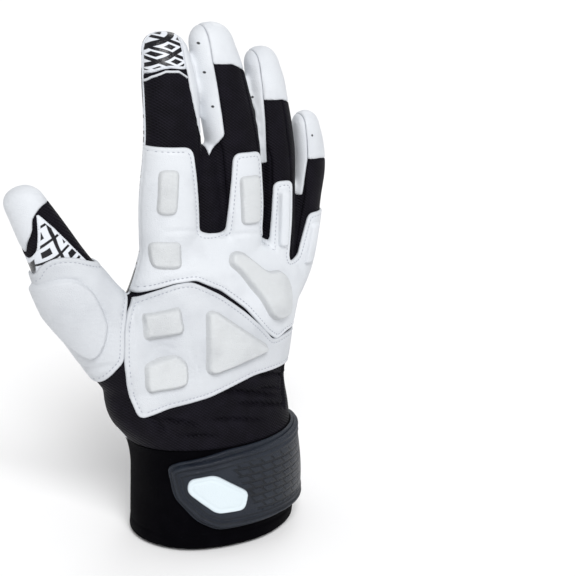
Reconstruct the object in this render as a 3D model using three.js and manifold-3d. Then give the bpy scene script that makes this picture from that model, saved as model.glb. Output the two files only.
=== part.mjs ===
// A right-hand receiver glove, standing as the hand that fills it holds it.
// Millimetres. +Z runs from the wrist opening to the fingertips, the back of the hand faces -Y and the
// thumb points to -X. The origin is the centre of the wrist opening.
// The glove is first laid out flat, where every seam is a straight cut along Y. The finished pieces are
// then bent together, which gives the hand its arch and the fingers their curl.
import * as THREE from 'three';
import { mergeVertices } from 'three/addons/utils/BufferGeometryUtils.js';
import Module from 'manifold-3d';

const wasm = await Module();
wasm.setup();

// Walls and the gap kept between pieces, with what the bend adds to it across long seams
const clearance = 0.3;
const bend_gap = 0.4;
const cloth_wall = 1.5;
const cuff_wall = 2.6;
const panel_wall = 1.2;
const piping_wall = 1;
const piping_width = 1.1;

// Wrist and hand
const cuff_width = 83;
const cuff_depth = 66;
const cuff_height = 50;
const wrist_width = 88;
const wrist_depth = 46;
const palm_width = 94;
const palm_depth = 38;
const palm_length = 97;
const knuckle_width = 92;
const knuckle_depth = 34;
const web_slope = 0.3;

// Fingers: length from the web to the tip, width and depth of the tube, and the place of the middle line
// at the web
const index_length = 93;
const index_width = 25.6;
const index_depth = 21.6;
const index_root = -21.8;
const middle_length = 100;
const middle_width = 24;
const middle_depth = 22;
const middle_root = 12;
const middle_web_drop = 3;
const ring_length = 94;
const ring_width = 21.2;
const ring_depth = 20.4;
const ring_root = 36;
const ring_web_drop = 9;
const pinky_length = 72;
const pinky_width = 18.8;
const pinky_depth = 18.4;
const pinky_root = 51.8;
const pinky_web_drop = 18;
const thumb_length = 100;
const thumb_width = 28;
const thumb_depth = 24;
const thumb_root = -38.5;
const thumb_root_height = 87;

// Fold of mesh that closes the gap between the index and middle fingers
const membrane_length = 46;
const membrane_width = 14;
const membrane_depth = 15;
const membrane_root = -4.5;

// How far the side walls between two fingers, and the thumb's back, reach towards the palm, and the
// slant of the fingertips' seams as a share of a finger's length
const side_front = 4;
const cap_slant = 0.04;
const thumb_wrap = 5;

// Foam pads under the leather
const finger_pad_rise = 1.8;
const hand_pad_rise = 3;
const thumb_pad_rise = 2;
const thumb_pad_gap = 0.5;

// Closure strap
const strap_wall = 1.3;
const strap_cover_wall = 1.5;
const strap_rim = 2;
const badge_wall = 0.7;

// Bend of the whole hand. The arch grows from the cuff to arch_start, a share of the palm's length.
const arch_crown = 3;
const arch_span = 50;
const arch_start = 0.6;
const pinky_drop = 8;
const thumb_drop = 6;
const curl_span = 95;
const tip_curl = 16;

// Number of points round the hand and round a finger, the roundness of their cross-sections, the rings
// of a fingertip as shares of its half width, and the limits of a rounded or a widened corner
const hand_sides = 24;
const finger_sides = 12;
const finger_square = 2.2;
const tip_square = 2.3;
const tip_steps = [0.6, 0.92];
const corner_steps = 2;
const corner_share = 0.45;
const miter_limit = 0.5;
const weld = 1e-5;

// The rounding of the corners of the panels, pads, strap and badge
const knuckle_corner = 2;
const panel_corner = 3;
const pad_corner = 3;
const thumb_pad_corner = 4;
const strap_corner = 4;
const badge_corner = 2.5;

const web_height = cuff_height + palm_length;
const beyond = 200;

// Cross-sections of the hand from the wrist opening up. up is a share of the height of its part, left and
// right are shares of its width from the middle line, deep is a share of its depth, square the roundness
// and slope a share of the slope of the web line.
const cuff_rows = [
  { up: 0, left: 0.5, right: 0.52, deep: 0.5, square: 2.1, slope: 0 },
  { up: 0.5, left: 0.495, right: 0.53, deep: 0.5, square: 2.1, slope: 0 },
  { up: 1, left: 0.535, right: 0.495, deep: 0.46, square: 2.1, slope: 0 },
];
const wrist_rows = [
  { up: 0.1, left: 0.585, right: 0.46, deep: 0.585, square: 2.2, slope: 0 },
  { up: 0.24, left: 0.62, right: 0.445, deep: 0.48, square: 2.3, slope: 0 },
];
const palm_rows = [
  { up: 0.37, left: 0.55, right: 0.445, deep: 0.53, square: 2.4, slope: 0 },
  { up: 0.52, left: 0.52, right: 0.48, deep: 0.51, square: 2.5, slope: 0 },
  { up: 0.66, left: 0.47, right: 0.52, deep: 0.48, square: 2.6, slope: 0 },
];
const knuckle_rows = [
  { up: 0.79, left: 0.43, right: 0.56, deep: 0.47, square: 2.7, slope: 0.36 },
  { up: 0.92, left: 0.395, right: 0.58, deep: 0.42, square: 2.7, slope: 0.8 },
  { up: 1.1, left: 0.38, right: 0.57, deep: 0.28, square: 2.7, slope: 1 },
];

const web_row = knuckle_rows[knuckle_rows.length - 1];

// Sections of each finger. up and lean are shares of its length, wide and deep shares of its sizes.
const index_rows = [
  { up: -0.4, lean: 0.0, wide: 0.95, deep: 0.95 },
  { up: -0.05, lean: -0.01, wide: 1.05, deep: 1 },
  { up: 0.19, lean: -0.012, wide: 1.03, deep: 1 },
  { up: 0.38, lean: 0.012, wide: 1.02, deep: 0.98 },
  { up: 0.52, lean: 0.022, wide: 1, deep: 0.95 },
  { up: 0.8, lean: 0.026, wide: 0.93, deep: 0.86 },
  { up: 0.88, lean: 0.024, wide: 0.85, deep: 0.77 },
];
const middle_rows = [
  { up: -0.35, lean: -0.03, wide: 0.98, deep: 0.95 },
  { up: -0.05, lean: -0.005, wide: 0.97, deep: 1 },
  { up: 0.2, lean: 0, wide: 1.05, deep: 1 },
  { up: 0.52, lean: -0.022, wide: 1.12, deep: 0.95 },
  { up: 0.64, lean: -0.041, wide: 1.1, deep: 0.92 },
  { up: 0.82, lean: -0.068, wide: 1.02, deep: 0.86 },
  { up: 0.885, lean: -0.078, wide: 0.94, deep: 0.79 },
];
const ring_rows = [
  { up: -0.3, lean: -0.045, wide: 1, deep: 0.95 },
  { up: 0, lean: -0.006, wide: 0.97, deep: 1 },
  { up: 0.3, lean: -0.004, wide: 0.95, deep: 1 },
  { up: 0.5, lean: -0.004, wide: 0.98, deep: 0.98 },
  { up: 0.72, lean: -0.03, wide: 1, deep: 0.92 },
  { up: 0.85, lean: -0.045, wide: 0.98, deep: 0.88 },
  { up: 0.905, lean: -0.053, wide: 0.9, deep: 0.8 },
];
const pinky_rows = [
  { up: -0.28, lean: -0.16, wide: 0.85, deep: 0.8 },
  { up: -0.06, lean: -0.05, wide: 1, deep: 1 },
  { up: 0.26, lean: 0.03, wide: 0.98, deep: 1 },
  { up: 0.44, lean: 0.055, wide: 0.98, deep: 1 },
  { up: 0.64, lean: 0.09, wide: 1.03, deep: 0.98 },
  { up: 0.82, lean: 0.08, wide: 0.98, deep: 0.9 },
  { up: 0.885, lean: 0.072, wide: 0.9, deep: 0.82 },
];
const thumb_rows = [
  { up: -0.14, lean: 0.1, wide: 1.28, deep: 1.3 },
  { up: 0.0, lean: 0.0, wide: 1.42, deep: 1.4 },
  { up: 0.14, lean: -0.11, wide: 1.32, deep: 1.3 },
  { up: 0.28, lean: -0.22, wide: 1.14, deep: 1.15 },
  { up: 0.42, lean: -0.3, wide: 1.0, deep: 1.02 },
  { up: 0.53, lean: -0.355, wide: 0.85, deep: 0.94 },
  { up: 0.63, lean: -0.405, wide: 0.77, deep: 0.86 },
  { up: 0.77, lean: -0.475, wide: 0.64, deep: 0.74 },
];

const membrane_rows = [
  { up: -0.3, lean: 0, wide: 1, deep: 1 },
  { up: 0.35, lean: 0, wide: 1, deep: 0.95 },
  { up: 0.8, lean: 0, wide: 0.75, deep: 0.8 },
];

const index = {
  x: index_root,
  z: web_height,
  length: index_length,
  width: index_width,
  depth: index_depth,
  rows: index_rows,
};
const middle = {
  x: middle_root,
  z: web_height - middle_web_drop,
  length: middle_length,
  width: middle_width,
  depth: middle_depth,
  rows: middle_rows,
};
const ring = {
  x: ring_root,
  z: web_height - ring_web_drop,
  length: ring_length,
  width: ring_width,
  depth: ring_depth,
  rows: ring_rows,
};
const pinky = {
  x: pinky_root,
  z: web_height - pinky_web_drop,
  length: pinky_length,
  width: pinky_width,
  depth: pinky_depth,
  rows: pinky_rows,
};
const thumb = {
  x: thumb_root,
  z: thumb_root_height,
  length: thumb_length,
  width: thumb_width,
  depth: thumb_depth,
  rows: thumb_rows,
};
const membrane = {
  x: membrane_root,
  z: web_height,
  length: membrane_length,
  width: membrane_width,
  depth: membrane_depth,
  rows: membrane_rows,
};

// A point of the flat layout on a finger: across is a share of its half width from its middle line, up a
// share of its length from the web.
function on(finger, across, up) {
  const { rows } = finger;
  const next = Math.max(1, rows.findIndex((row) => row.up >= up));
  const [low, high] = up > rows[rows.length - 1].up ? rows.slice(-2) : [rows[next - 1], rows[next]];
  const share = Math.min((up - low.up) / (high.up - low.up), 1);
  const lean = THREE.MathUtils.lerp(low.lean, high.lean, share);
  const wide = THREE.MathUtils.lerp(low.wide, high.wide, share);
  return new THREE.Vector2(
    finger.x + lean * finger.length + across * wide * finger.width / 2,
    finger.z + up * finger.length,
  );
}

// A point of the flat layout on the hand: across is a share of half the palm's width from the middle line,
// up a share of the palm's length above the cuff.
function on_hand(across, up) {
  return new THREE.Vector2(across * palm_width / 2, cuff_height + up * palm_length);
}

// The middle of the gap between two fingers, up a share of the first one's length.
function between(left, right, up) {
  const edge = on(left, 1, up);
  const share = (edge.y - right.z) / right.length;
  return edge.add(on(right, -1, share)).multiplyScalar(0.5);
}

// The foot of the gap between two fingers, lowered by an amount.
function web(left, right, lower) {
  const x = between(left, right, 0).x;
  const start = -web_row.left * knuckle_width;
  return new THREE.Vector2(x, cuff_height + web_row.up * palm_length - web_slope * (x - start) - lower);
}

// A closed solid through rings of equal point counts, with a flat lid at each end.
function loft(rings) {
  const points = [];
  const count = rings[0].length;
  const centre = (row) => row.reduce((sum, p) => sum.add(p), new THREE.Vector3()).divideScalar(count);
  const push = (...corners) => corners.forEach((p) => points.push(p.x, p.y, p.z));
  rings.slice(1).forEach((upper, i) => {
    const lower = rings[i];
    lower.forEach((p, j) => {
      const k = (j + 1) % count;
      push(p, lower[k], upper[k]);
      push(p, upper[k], upper[j]);
    });
  });
  const [first, last] = [rings[0], rings[rings.length - 1]];
  const [bottom, top] = [centre(first), centre(last)];
  first.forEach((p, j) => push(bottom, first[(j + 1) % count], p));
  last.forEach((p, j) => push(top, p, last[(j + 1) % count]));
  const geometry = new THREE.BufferGeometry();
  geometry.setAttribute('position', new THREE.Float32BufferAttribute(points, 3));
  return geometry;
}

// A three.js geometry as a solid that can be joined and cut.
function solid(geometry) {
  geometry.deleteAttribute('normal');
  geometry.deleteAttribute('uv');
  const merged = mergeVertices(geometry, weld);
  return new wasm.Manifold(new wasm.Mesh({
    numProp: 3,
    vertProperties: merged.attributes.position.array,
    triVerts: Uint32Array.from(merged.index.array),
  }));
}

// The points of a superellipse, each put in space by place.
function oval(count, half_x, half_y, square, place) {
  return Array.from({ length: count }, (_, i) => {
    const angle = (2 * Math.PI * i) / count;
    const [c, s] = [Math.cos(angle), Math.sin(angle)];
    const x = half_x * Math.sign(c) * Math.abs(c) ** (2 / square);
    const y = half_y * Math.sign(s) * Math.abs(s) ** (2 / square);
    return place(x, y);
  });
}

// The hand without its fingers, grown by an amount all round and lengthened below the wrist opening.
function hand(grow, below) {
  const parts = [
    { rows: cuff_rows, width: cuff_width, depth: cuff_depth, start: 0, height: cuff_height },
    { rows: wrist_rows, width: wrist_width, depth: wrist_depth, start: cuff_height, height: palm_length },
    { rows: palm_rows, width: palm_width, depth: palm_depth, start: cuff_height, height: palm_length },
    {
      rows: knuckle_rows,
      width: knuckle_width,
      depth: knuckle_depth,
      start: cuff_height,
      height: palm_length,
    },
  ];
  const section = (part, row, z) => {
    const left = -row.left * part.width;
    const right = row.right * part.width;
    const tilt = row.slope * web_slope;
    const place = (x, y) => {
      const at = (left + right) / 2 + x;
      return new THREE.Vector3(at, y, z - tilt * (at - left));
    };
    const half_x = (right - left) / 2 + grow;
    return oval(hand_sides, half_x, row.deep * part.depth + grow, row.square, place);
  };
  const rings = parts.flatMap((part) => part.rows.map((row) => {
    const top = row === web_row ? grow : 0;
    return section(part, row, part.start + row.up * part.height + top);
  }));
  if (below > 0) rings.unshift(section(parts[0], cuff_rows[0], -below));
  return solid(loft(rings));
}

// A finger along its leaning centre line, grown by an amount all round, with a rounded tip.
function sleeve(finger, grow) {
  const { rows, width, depth } = finger;
  const centres = rows.map((row) => on(finger, 0, row.up));
  const rings = [];
  const section = (centre, along, half_x, half_y) => {
    const place = (x, y) => new THREE.Vector3(centre.x + along.y * x, y, centre.y - along.x * x);
    rings.push(oval(finger_sides, half_x, half_y, finger_square, place));
  };
  rows.forEach((row, i) => {
    const from = centres[Math.max(i - 1, 0)];
    const to = centres[Math.min(i + 1, rows.length - 1)];
    const along = to.clone().sub(from).normalize();
    section(centres[i], along, row.wide * width / 2 + grow, row.deep * depth / 2 + grow);
  });
  const tip = rows[rows.length - 1];
  const centre = centres[rows.length - 1];
  const along = centre.clone().sub(centres[rows.length - 2]).normalize();
  const half_x = tip.wide * width / 2 + grow;
  const half_y = tip.deep * depth / 2 + grow;
  tip_steps.forEach((share) => {
    const narrow = (1 - share ** tip_square) ** (1 / tip_square);
    const at = centre.clone().addScaledVector(along, share * half_x);
    section(at, along, half_x * narrow, half_y * narrow);
  });
  return solid(loft(rings));
}

// The whole glove as one solid, grown by an amount all round.
function body(grow, below = 0) {
  const sleeves = [index, middle, ring, pinky, thumb, membrane];
  return sleeves.reduce((sum, finger) => sum.add(sleeve(finger, grow)), hand(grow, below));
}

// An outline with each edge moved outwards by an amount. Its points run clockwise seen from -Y.
function widen(points, amount) {
  const count = points.length;
  return points.map((p, i) => {
    const from = p.clone().sub(points[(i + count - 1) % count]).normalize();
    const to = points[(i + 1) % count].clone().sub(p).normalize();
    const [a, b] = [new THREE.Vector2(-from.y, from.x), new THREE.Vector2(-to.y, to.x)];
    const miter = a.add(b).normalize();
    return p.clone().addScaledVector(miter, amount / Math.max(miter.dot(b), miter_limit));
  });
}

// A block with the given outline between two values of y, its corners rounded.
function block(points, radius, low_y = -beyond, high_y = beyond) {
  const shape = new THREE.Shape();
  const count = points.length;
  points.forEach((p, i) => {
    const before = points[(i + count - 1) % count];
    const after = points[(i + 1) % count];
    const toward = (end) => {
      const length = p.distanceTo(end);
      return p.clone().lerp(end, Math.min(radius / length, corner_share));
    };
    const [start, finish] = [toward(before), toward(after)];
    if (i === 0) shape.moveTo(start.x, start.y);
    else shape.lineTo(start.x, start.y);
    shape.quadraticCurveTo(p.x, p.y, finish.x, finish.y);
  });
  const curveSegments = radius > 0 ? corner_steps : 1;
  const options = { depth: high_y - low_y, bevelEnabled: false, curveSegments };
  const geometry = new THREE.ExtrudeGeometry(shape, options);
  geometry.rotateX(Math.PI / 2);
  geometry.translate(0, high_y, 0);
  return solid(geometry);
}

// A plain box between two corners.
function box(low, high) {
  const geometry = new THREE.BoxGeometry(...high.map((value, i) => value - low[i]));
  geometry.translate(...high.map((value, i) => (value + low[i]) / 2));
  return solid(geometry);
}

// The bend that turns the flat layout into the standing hand: an arch across and a curl of the fingers.
function bend(x, z) {
  const rise = THREE.MathUtils.smoothstep(z, cuff_height, cuff_height + arch_start * palm_length);
  const drop = x > arch_crown ? pinky_drop : thumb_drop;
  const out = Math.abs(x - arch_crown) / arch_span;
  const arch = out < 1 ? out ** 2 : 2 * out - 1;
  const curl = Math.max(z - web_height, 0) / curl_span;
  return drop * arch * rise + tip_curl * curl ** 2;
}

const materials = {
  leather: { color: 0xe4e6ea, roughness: 0.55 },
  pad_leather: { color: 0xd9dcdd, roughness: 0.6 },
  mesh_cloth: { color: 0x18161d, roughness: 0.8 },
  neoprene: { color: 0x131217, roughness: 0.85 },
  grip_print: { color: 0x85878d, roughness: 0.35 },
  rubber: { color: 0x2b2e37, roughness: 0.45 },
  badge_white: { color: 0xe8eef2, roughness: 0.4 },
};

// Bends a finished piece and names it. Slivers that a cut leaves beside the piece are dropped.
const glove = new THREE.Group();
function add(name, piece, material) {
  const [main] = piece.decompose().sort((a, b) => b.volume() - a.volume());
  const { vertProperties, triVerts } = main.getMesh();
  const position = Float32Array.from(vertProperties);
  for (let i = 0; i < position.length; i += 3) position[i + 1] += bend(position[i], position[i + 2]);
  const geometry = new THREE.BufferGeometry();
  geometry.setAttribute('position', new THREE.BufferAttribute(position, 3));
  geometry.setIndex(new THREE.BufferAttribute(Uint32Array.from(triVerts), 1));
  const finish = new THREE.MeshStandardMaterial({ ...materials[material], metalness: 0 });
  const mesh = new THREE.Mesh(geometry, finish);
  mesh.name = name;
  glove.add(mesh);
}

// Base layer: one hollow skin, cut into its panels. Each cut leaves the clearance on the side that stays.
const above_cuff = box([-beyond, -beyond, cuff_height + clearance], [beyond, beyond, 2 * beyond]);
const outer = body(0);
const hollow = body(-cloth_wall, clearance);
let skin = outer.subtract(hollow).intersect(above_cuff);

function take(points, radius, high_y = side_front) {
  const piece = skin.intersect(block(points, radius, -beyond, high_y));
  skin = skin.subtract(block(widen(points, clearance), radius, -beyond, high_y + clearance + bend_gap));
  return piece;
}

function make_cuff() {
  const below_seam = box([-beyond, -beyond, -beyond], [beyond, beyond, cuff_height]);
  add('cuff', hand(0, 0).subtract(hand(-cuff_wall, cuff_wall)).intersect(below_seam), 'neoprene');
}

// Leather fingertips and the leather sides below them, on the side of the thumb. The seam between a tip
// and its side runs down the back of the finger. top, seam, foot and side are shares of its half width,
// low, heel and gap shares of its length.
const tip_rows = [
  { name: 'middle', finger: middle, left: index, top: -0.48, seam: -0.48, foot: -0.6, side: 1.12,
    low: 0.815, heel: 0.5, gap: 0.4 },
  { name: 'ring', finger: ring, left: middle, top: -0.6, seam: -0.69, foot: -0.88, side: 1.6,
    low: 0.75, heel: 0.435, gap: 0.345 },
  { name: 'pinky', finger: pinky, left: ring, top: -0.5, seam: -0.62, foot: -0.78, side: 2,
    low: 0.69, heel: 0.45, gap: 0.249 },
];
const past_tip = 1.2;
const cap_middle = 0.3;
const side_reach = -1.35;
const side_top = 0.9;
const gap_length = 0.25;

function make_tips_and_sides() {
  tip_rows.forEach(({ name, finger, top, seam, side, low }) => {
    const outline = [
      on(finger, seam, low),
      on(finger, top, past_tip),
      on(finger, side, past_tip),
      on(finger, side, low - cap_slant),
      on(finger, cap_middle, low),
    ];
    add(`${name}_tip_cap`, take(outline, 0), 'leather');
  });
  tip_rows.forEach(({ name, finger, left, top, seam, foot, low, heel, gap }) => {
    const outline = [
      between(left, finger, gap),
      between(left, finger, gap + gap_length),
      on(finger, side_reach, side_top),
      on(finger, side_reach, past_tip),
      on(finger, top, past_tip),
      on(finger, seam, low),
      on(finger, foot, heel),
    ];
    add(`${name}_fourchette`, take(outline, 0), 'leather');
  });
}

// Outlines on a finger or on the hand. across is a share of the half width from the middle line, up a
// share of the length from the web or above the cuff.
const on_finger = (finger, rows) => rows.map(({ across, up }) => on(finger, across, up));
const on_back = (rows) => rows.map(({ across, up }) => on_hand(across, up));

// Index finger: a leather strip on its inner side and the grip cloth folded over its tip
const index_strip_rows = [
  { across: 0.88, up: 0.5 },
  { across: 0.62, up: 0.64 },
  { across: 0.5, up: 0.74 },
  { across: 0.5, up: 1.2 },
  { across: 1.5, up: 1.2 },
  { across: 1.35, up: 0.5 },
];
const index_wrap_rows = [
  { across: -1.6, up: 0.77 },
  { across: -1.6, up: 1.2 },
  { across: 0.6, up: 1.2 },
  { across: 0.6, up: 0.82 },
  { across: -0.3, up: 0.83 },
];

function make_index_tip() {
  add('index_side_strip', take(on_finger(index, index_strip_rows), 0), 'leather');
  add('index_tip_wrap', take(on_finger(index, index_wrap_rows), 0, -clearance), 'grip_print');
}

// Mesh walls and webs between the fingers. inner and outer are shares of the half widths of the two
// fingers, top and foot shares of their lengths.
const gap_rows = [
  { name: 'index_middle', left: index, right: middle, inner: 0.74, outer: -0.72, top: 0.62, foot: 0.44 },
  { name: 'middle_ring', left: middle, right: ring, inner: 0.74, outer: -0.72, top: 0.86, foot: 0.46 },
  { name: 'ring_pinky', left: ring, right: pinky, inner: 0.3, outer: -0.66, top: 0.8, foot: 0.5 },
];
const web_sink = 5;
const web_half_width = 0.125;
const gusset_foot = 0.08;
const gusset_knee = 0.4;
const gusset_reach = 1.15;
const gusset_fork = 0.6;

function make_gussets() {
  gap_rows.forEach(({ name, left, right, inner, outer: far, top, foot }) => {
    const low = web(left, right, web_sink);
    const outline = [
      new THREE.Vector2(low.x - web_half_width * left.width, low.y),
      on(left, inner, gusset_foot),
      on(left, inner, gusset_knee),
      on(left, inner, top),
      on(left, gusset_reach, top),
      between(left, right, gusset_fork),
      on(right, far, foot),
      on(right, far, gusset_foot),
      new THREE.Vector2(low.x + web_half_width * right.width, low.y),
    ];
    add(`${name}_gusset`, take(outline, 0), 'mesh_cloth');
  });
}

// Thumb: leather cap and a printed panel let into the mesh
const thumb_cap_rows = [
  { across: -3, up: 0.48 },
  { across: -2.68, up: 0.98 },
  { across: 1.23, up: 0.98 },
  { across: 1.23, up: 0.8 },
  { across: 0.446, up: 0.785 },
  { across: -0.264, up: 0.73 },
  { across: -0.515, up: 0.675 },
  { across: -0.955, up: 0.61 },
  { across: -1.167, up: 0.48 },
];
const thumb_print_rows = [
  { across: -0.385, up: 0.66 },
  { across: 0.082, up: 0.755 },
  { across: 0.472, up: 0.685 },
  { across: 0.757, up: 0.59 },
  { across: 1, up: 0.485 },
  { across: 0.594, up: 0.5 },
  { across: -0.086, up: 0.52 },
  { across: -0.6, up: 0.48 },
  { across: -1.05, up: 0.39 },
  { across: -1.4, up: 0.45 },
  { across: -1.05, up: 0.535 },
  { across: -0.72, up: 0.585 },
];

function make_thumb_panels() {
  add('thumb_tip_cap', take(on_finger(thumb, thumb_cap_rows), 0, thumb_wrap), 'leather');
  add('thumb_print_panel', take(on_finger(thumb, thumb_print_rows), 0, thumb_wrap), 'grip_print');
}

make_cuff();
make_tips_and_sides();
make_index_tip();
make_gussets();
make_thumb_panels();

// The mesh back and the grip cloth of the palm. The seam runs round the hand's edge, and on the thumb
// thumb_wrap further towards the palm, from thumb_seam, a share of half the palm's width.
const thumb_seam = -1.06;

function make_palm_and_back() {
  const half = clearance / 2;
  const thumb_line = on_hand(thumb_seam, 0).x;
  const back_side = box([-beyond, -beyond, 0], [beyond, -half, 2 * beyond])
    .add(box([-beyond, -beyond, 0], [thumb_line - half, thumb_wrap - half, 2 * beyond]));
  const palm_side = box([thumb_line + half, half, 0], [beyond, beyond, 2 * beyond])
    .add(box([-beyond, thumb_wrap + half, 0], [beyond, beyond, 2 * beyond]));
  add('back_mesh', skin.intersect(back_side), 'mesh_cloth');
  add('palm_panel', skin.intersect(palm_side), 'grip_print');
}
make_palm_and_back();

// Second layer: leather panels laid on the mesh, each the space between two grown bodies
const layer_bottom = clearance;
const layer_top = layer_bottom + panel_wall;
const back_half = box([-beyond, -beyond, 0], [beyond, -clearance, 2 * beyond]);
const layer = body(layer_top).subtract(body(layer_bottom));
const first_layer = layer.intersect(back_half);

// How far the thumb's panel and its pad reach round the thumb's side
const thumb_panel_reach = 3.4;
const thumb_pad_reach = 2;
const thumb_layer = layer.intersect(box([-beyond, -beyond, 0], [beyond, thumb_panel_reach, 2 * beyond]));

// A tab of a panel that runs up the back of a finger, and its corners as a share of the finger's width
const tab_knee = 0.15;
const tab_corner = 1 / 6;

function tab({ finger, low_left, left, low_right, right, foot, top }) {
  const points = [
    on(finger, low_left, foot),
    on(finger, left, top),
    on(finger, right, top),
    on(finger, low_right, tab_knee),
    on(finger, low_right, foot),
  ];
  return block(points, tab_corner * finger.width);
}

const knuckle_area = [
  { across: -0.92, up: 0.735 }, { across: -0.905, up: 1.1 }, { across: -0.18, up: 1.02 },
  { across: 0.03, up: 1.02 }, { across: 0.4, up: 1.02 }, { across: 0.5, up: 0.985 },
  { across: 0.6, up: 0.92 }, { across: 0.83, up: 0.83 }, { across: 1.3, up: 0.86 },
  { across: 1.3, up: 0.49 }, { across: 0.71, up: 0.49 }, { across: 0.56, up: 0.465 },
  { across: 0.42, up: 0.515 }, { across: 0.15, up: 0.66 }, { across: -0.1, up: 0.757 },
  { across: -0.255, up: 0.792 }, { across: -0.35, up: 0.815 }, { across: -0.56, up: 0.803 },
  { across: -0.77, up: 0.767 },
];
const finger_tabs = [
  { finger: index, low_left: -1.5, left: -1.5, low_right: 0.78, right: 0.36, foot: -0.1, top: 0.46 },
  { finger: middle, low_left: -0.87, left: -0.41, low_right: 0.78, right: 0.74, foot: -0.1, top: 0.42 },
  { finger: ring, low_left: -0.68, left: -0.68, low_right: 0.3, right: 0.3, foot: -0.1, top: 0.35 },
  { finger: pinky, low_left: -0.4, left: -0.36, low_right: 1.5, right: 1.5, foot: -0.3, top: 0.33 },
];
const knuckle_base = block(on_back(knuckle_area), knuckle_corner);
const knuckle_block = finger_tabs.reduce((sum, row) => sum.add(tab(row)), knuckle_base);

const hand_back_area = [
  { across: -0.96, up: 0.17 }, { across: -1.05, up: 0.33 }, { across: -1.075, up: 0.45 },
  { across: -1.062, up: 0.6 }, { across: -1.01, up: 0.683 }, { across: -0.76, up: 0.758 },
  { across: -0.56, up: 0.797 }, { across: -0.4, up: 0.809 }, { across: -0.27, up: 0.778 },
  { across: -0.1, up: 0.732 }, { across: 0.15, up: 0.64 }, { across: 0.37, up: 0.542 },
  { across: 0.51, up: 0.466 }, { across: 0.7, up: 0.475 }, { across: 1.3, up: 0.475 },
  { across: 1.3, up: 0.31 }, { across: 0.61, up: 0.315 }, { across: 0.27, up: 0.317 },
  { across: 0.1, up: 0.298 }, { across: -0.27, up: 0.248 }, { across: -0.69, up: 0.219 },
];
const thumb_area_low = [
  { across: -1.5, up: 0.2 }, { across: -2.3, up: 0.7 },
];
const thumb_area_top = [
  { across: -1.084, up: 0.435 }, { across: -0.739, up: 0.522 }, { across: -0.167, up: 0.553 },
  { across: 0.449, up: 0.547 }, { across: 0.986, up: 0.513 },
];
const thumb_area_side = [
  { across: -0.935, up: 0.85 }, { across: -0.935, up: 0.76 }, { across: -1.024, up: 0.7 },
  { across: -1.073, up: 0.6 }, { across: -1.086, up: 0.455 }, { across: -1.15, up: 0.415 },
  { across: -1.28, up: 0.315 },
];

function make_panels() {
  add('knuckle_panel', first_layer.intersect(knuckle_block), 'leather');
  const thumb_area = [
    ...on_back(thumb_area_low), ...on_finger(thumb, thumb_area_top), ...on_back(thumb_area_side),
  ];
  add('hand_back_panel', first_layer.intersect(block(on_back(hand_back_area), panel_corner)), 'leather');
  add('thumb_base_panel', thumb_layer.intersect(block(thumb_area, panel_corner)), 'leather');
}
make_panels();

// Foam pads under the second layer's leather, each a raised block of its own
function raised(rise, area, extra_gap = 0, reach = -clearance) {
  const bottom = layer_top + clearance + extra_gap;
  const side = box([-beyond, -beyond, 0], [beyond, reach, 2 * beyond]);
  return body(bottom + rise).subtract(body(bottom)).intersect(side).intersect(area);
}

// Pads on the fingers: left and right are shares of the half width, low and high shares of the length.
// Their corners are a share of the finger's width.
const finger_pad_corner = 1 / 7;
const finger_pad_rows = [
  { name: 'index_finger', finger: index, left: -0.76, right: -0.08, low: 0.13, high: 0.36 },
  { name: 'index_knuckle', finger: index, left: -0.92, right: 0.05, low: -0.14, high: 0.01 },
  { name: 'middle_finger', finger: middle, left: -0.34, right: 0.58, low: 0.08, high: 0.32 },
  { name: 'ring_finger', finger: ring, left: -0.5, right: 0.16, low: 0, high: 0.31 },
  { name: 'pinky_finger', finger: pinky, left: -0.18, right: 0.6, low: -0.03, high: 0.27 },
];

function make_finger_pads() {
  finger_pad_rows.forEach(({ name, finger, left, right, low, high }) => {
    const points = [
      on(finger, left, low),
      on(finger, left, high),
      on(finger, right, high),
      on(finger, right, low),
    ];
    const area = block(points, finger_pad_corner * finger.width);
    add(`${name}_pad`, raised(finger_pad_rise, area), 'pad_leather');
  });
}

// Pads on the back of the hand and on the thumb's base
const chevron_area = [
  { across: -0.01, up: 0.87 }, { across: 0.02, up: 0.93 }, { across: 0.17, up: 0.93 },
  { across: 0.47, up: 0.812 }, { across: 0.61, up: 0.812 }, { across: 0.71, up: 0.78 },
  { across: 0.76, up: 0.72 }, { across: 0.745, up: 0.577 }, { across: 0.56, up: 0.559 },
  { across: 0.44, up: 0.59 }, { across: 0.3, up: 0.7 }, { across: 0.1, up: 0.827 },
];
const upper_area = [
  { across: -0.905, up: 0.56 }, { across: -0.87, up: 0.66 }, { across: -0.52, up: 0.705 },
  { across: -0.49, up: 0.57 }, { across: -0.86, up: 0.535 },
];
const lower_area = [
  { across: -0.91, up: 0.325 }, { across: -0.915, up: 0.44 }, { across: -0.585, up: 0.482 },
  { across: -0.47, up: 0.425 }, { across: -0.48, up: 0.325 }, { across: -0.55, up: 0.305 },
  { across: -0.86, up: 0.287 },
];
const triangle_area = [
  { across: -0.31, up: 0.37 }, { across: -0.3, up: 0.67 }, { across: -0.19, up: 0.675 },
  { across: 0.43, up: 0.455 }, { across: 0.42, up: 0.42 }, { across: -0.23, up: 0.347 },
];
const thumb_pad_area = [
  { across: -1.36, up: 0.455 }, { across: -1.53, up: 0.53 }, { across: -1.72, up: 0.68 },
  { across: -1.82, up: 0.82 }, { across: -1.7, up: 0.89 }, { across: -1.5, up: 0.875 },
  { across: -1.35, up: 0.81 }, { across: -1.25, up: 0.71 }, { across: -1.2, up: 0.63 },
  { across: -1.22, up: 0.545 }, { across: -1.27, up: 0.47 },
];

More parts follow.
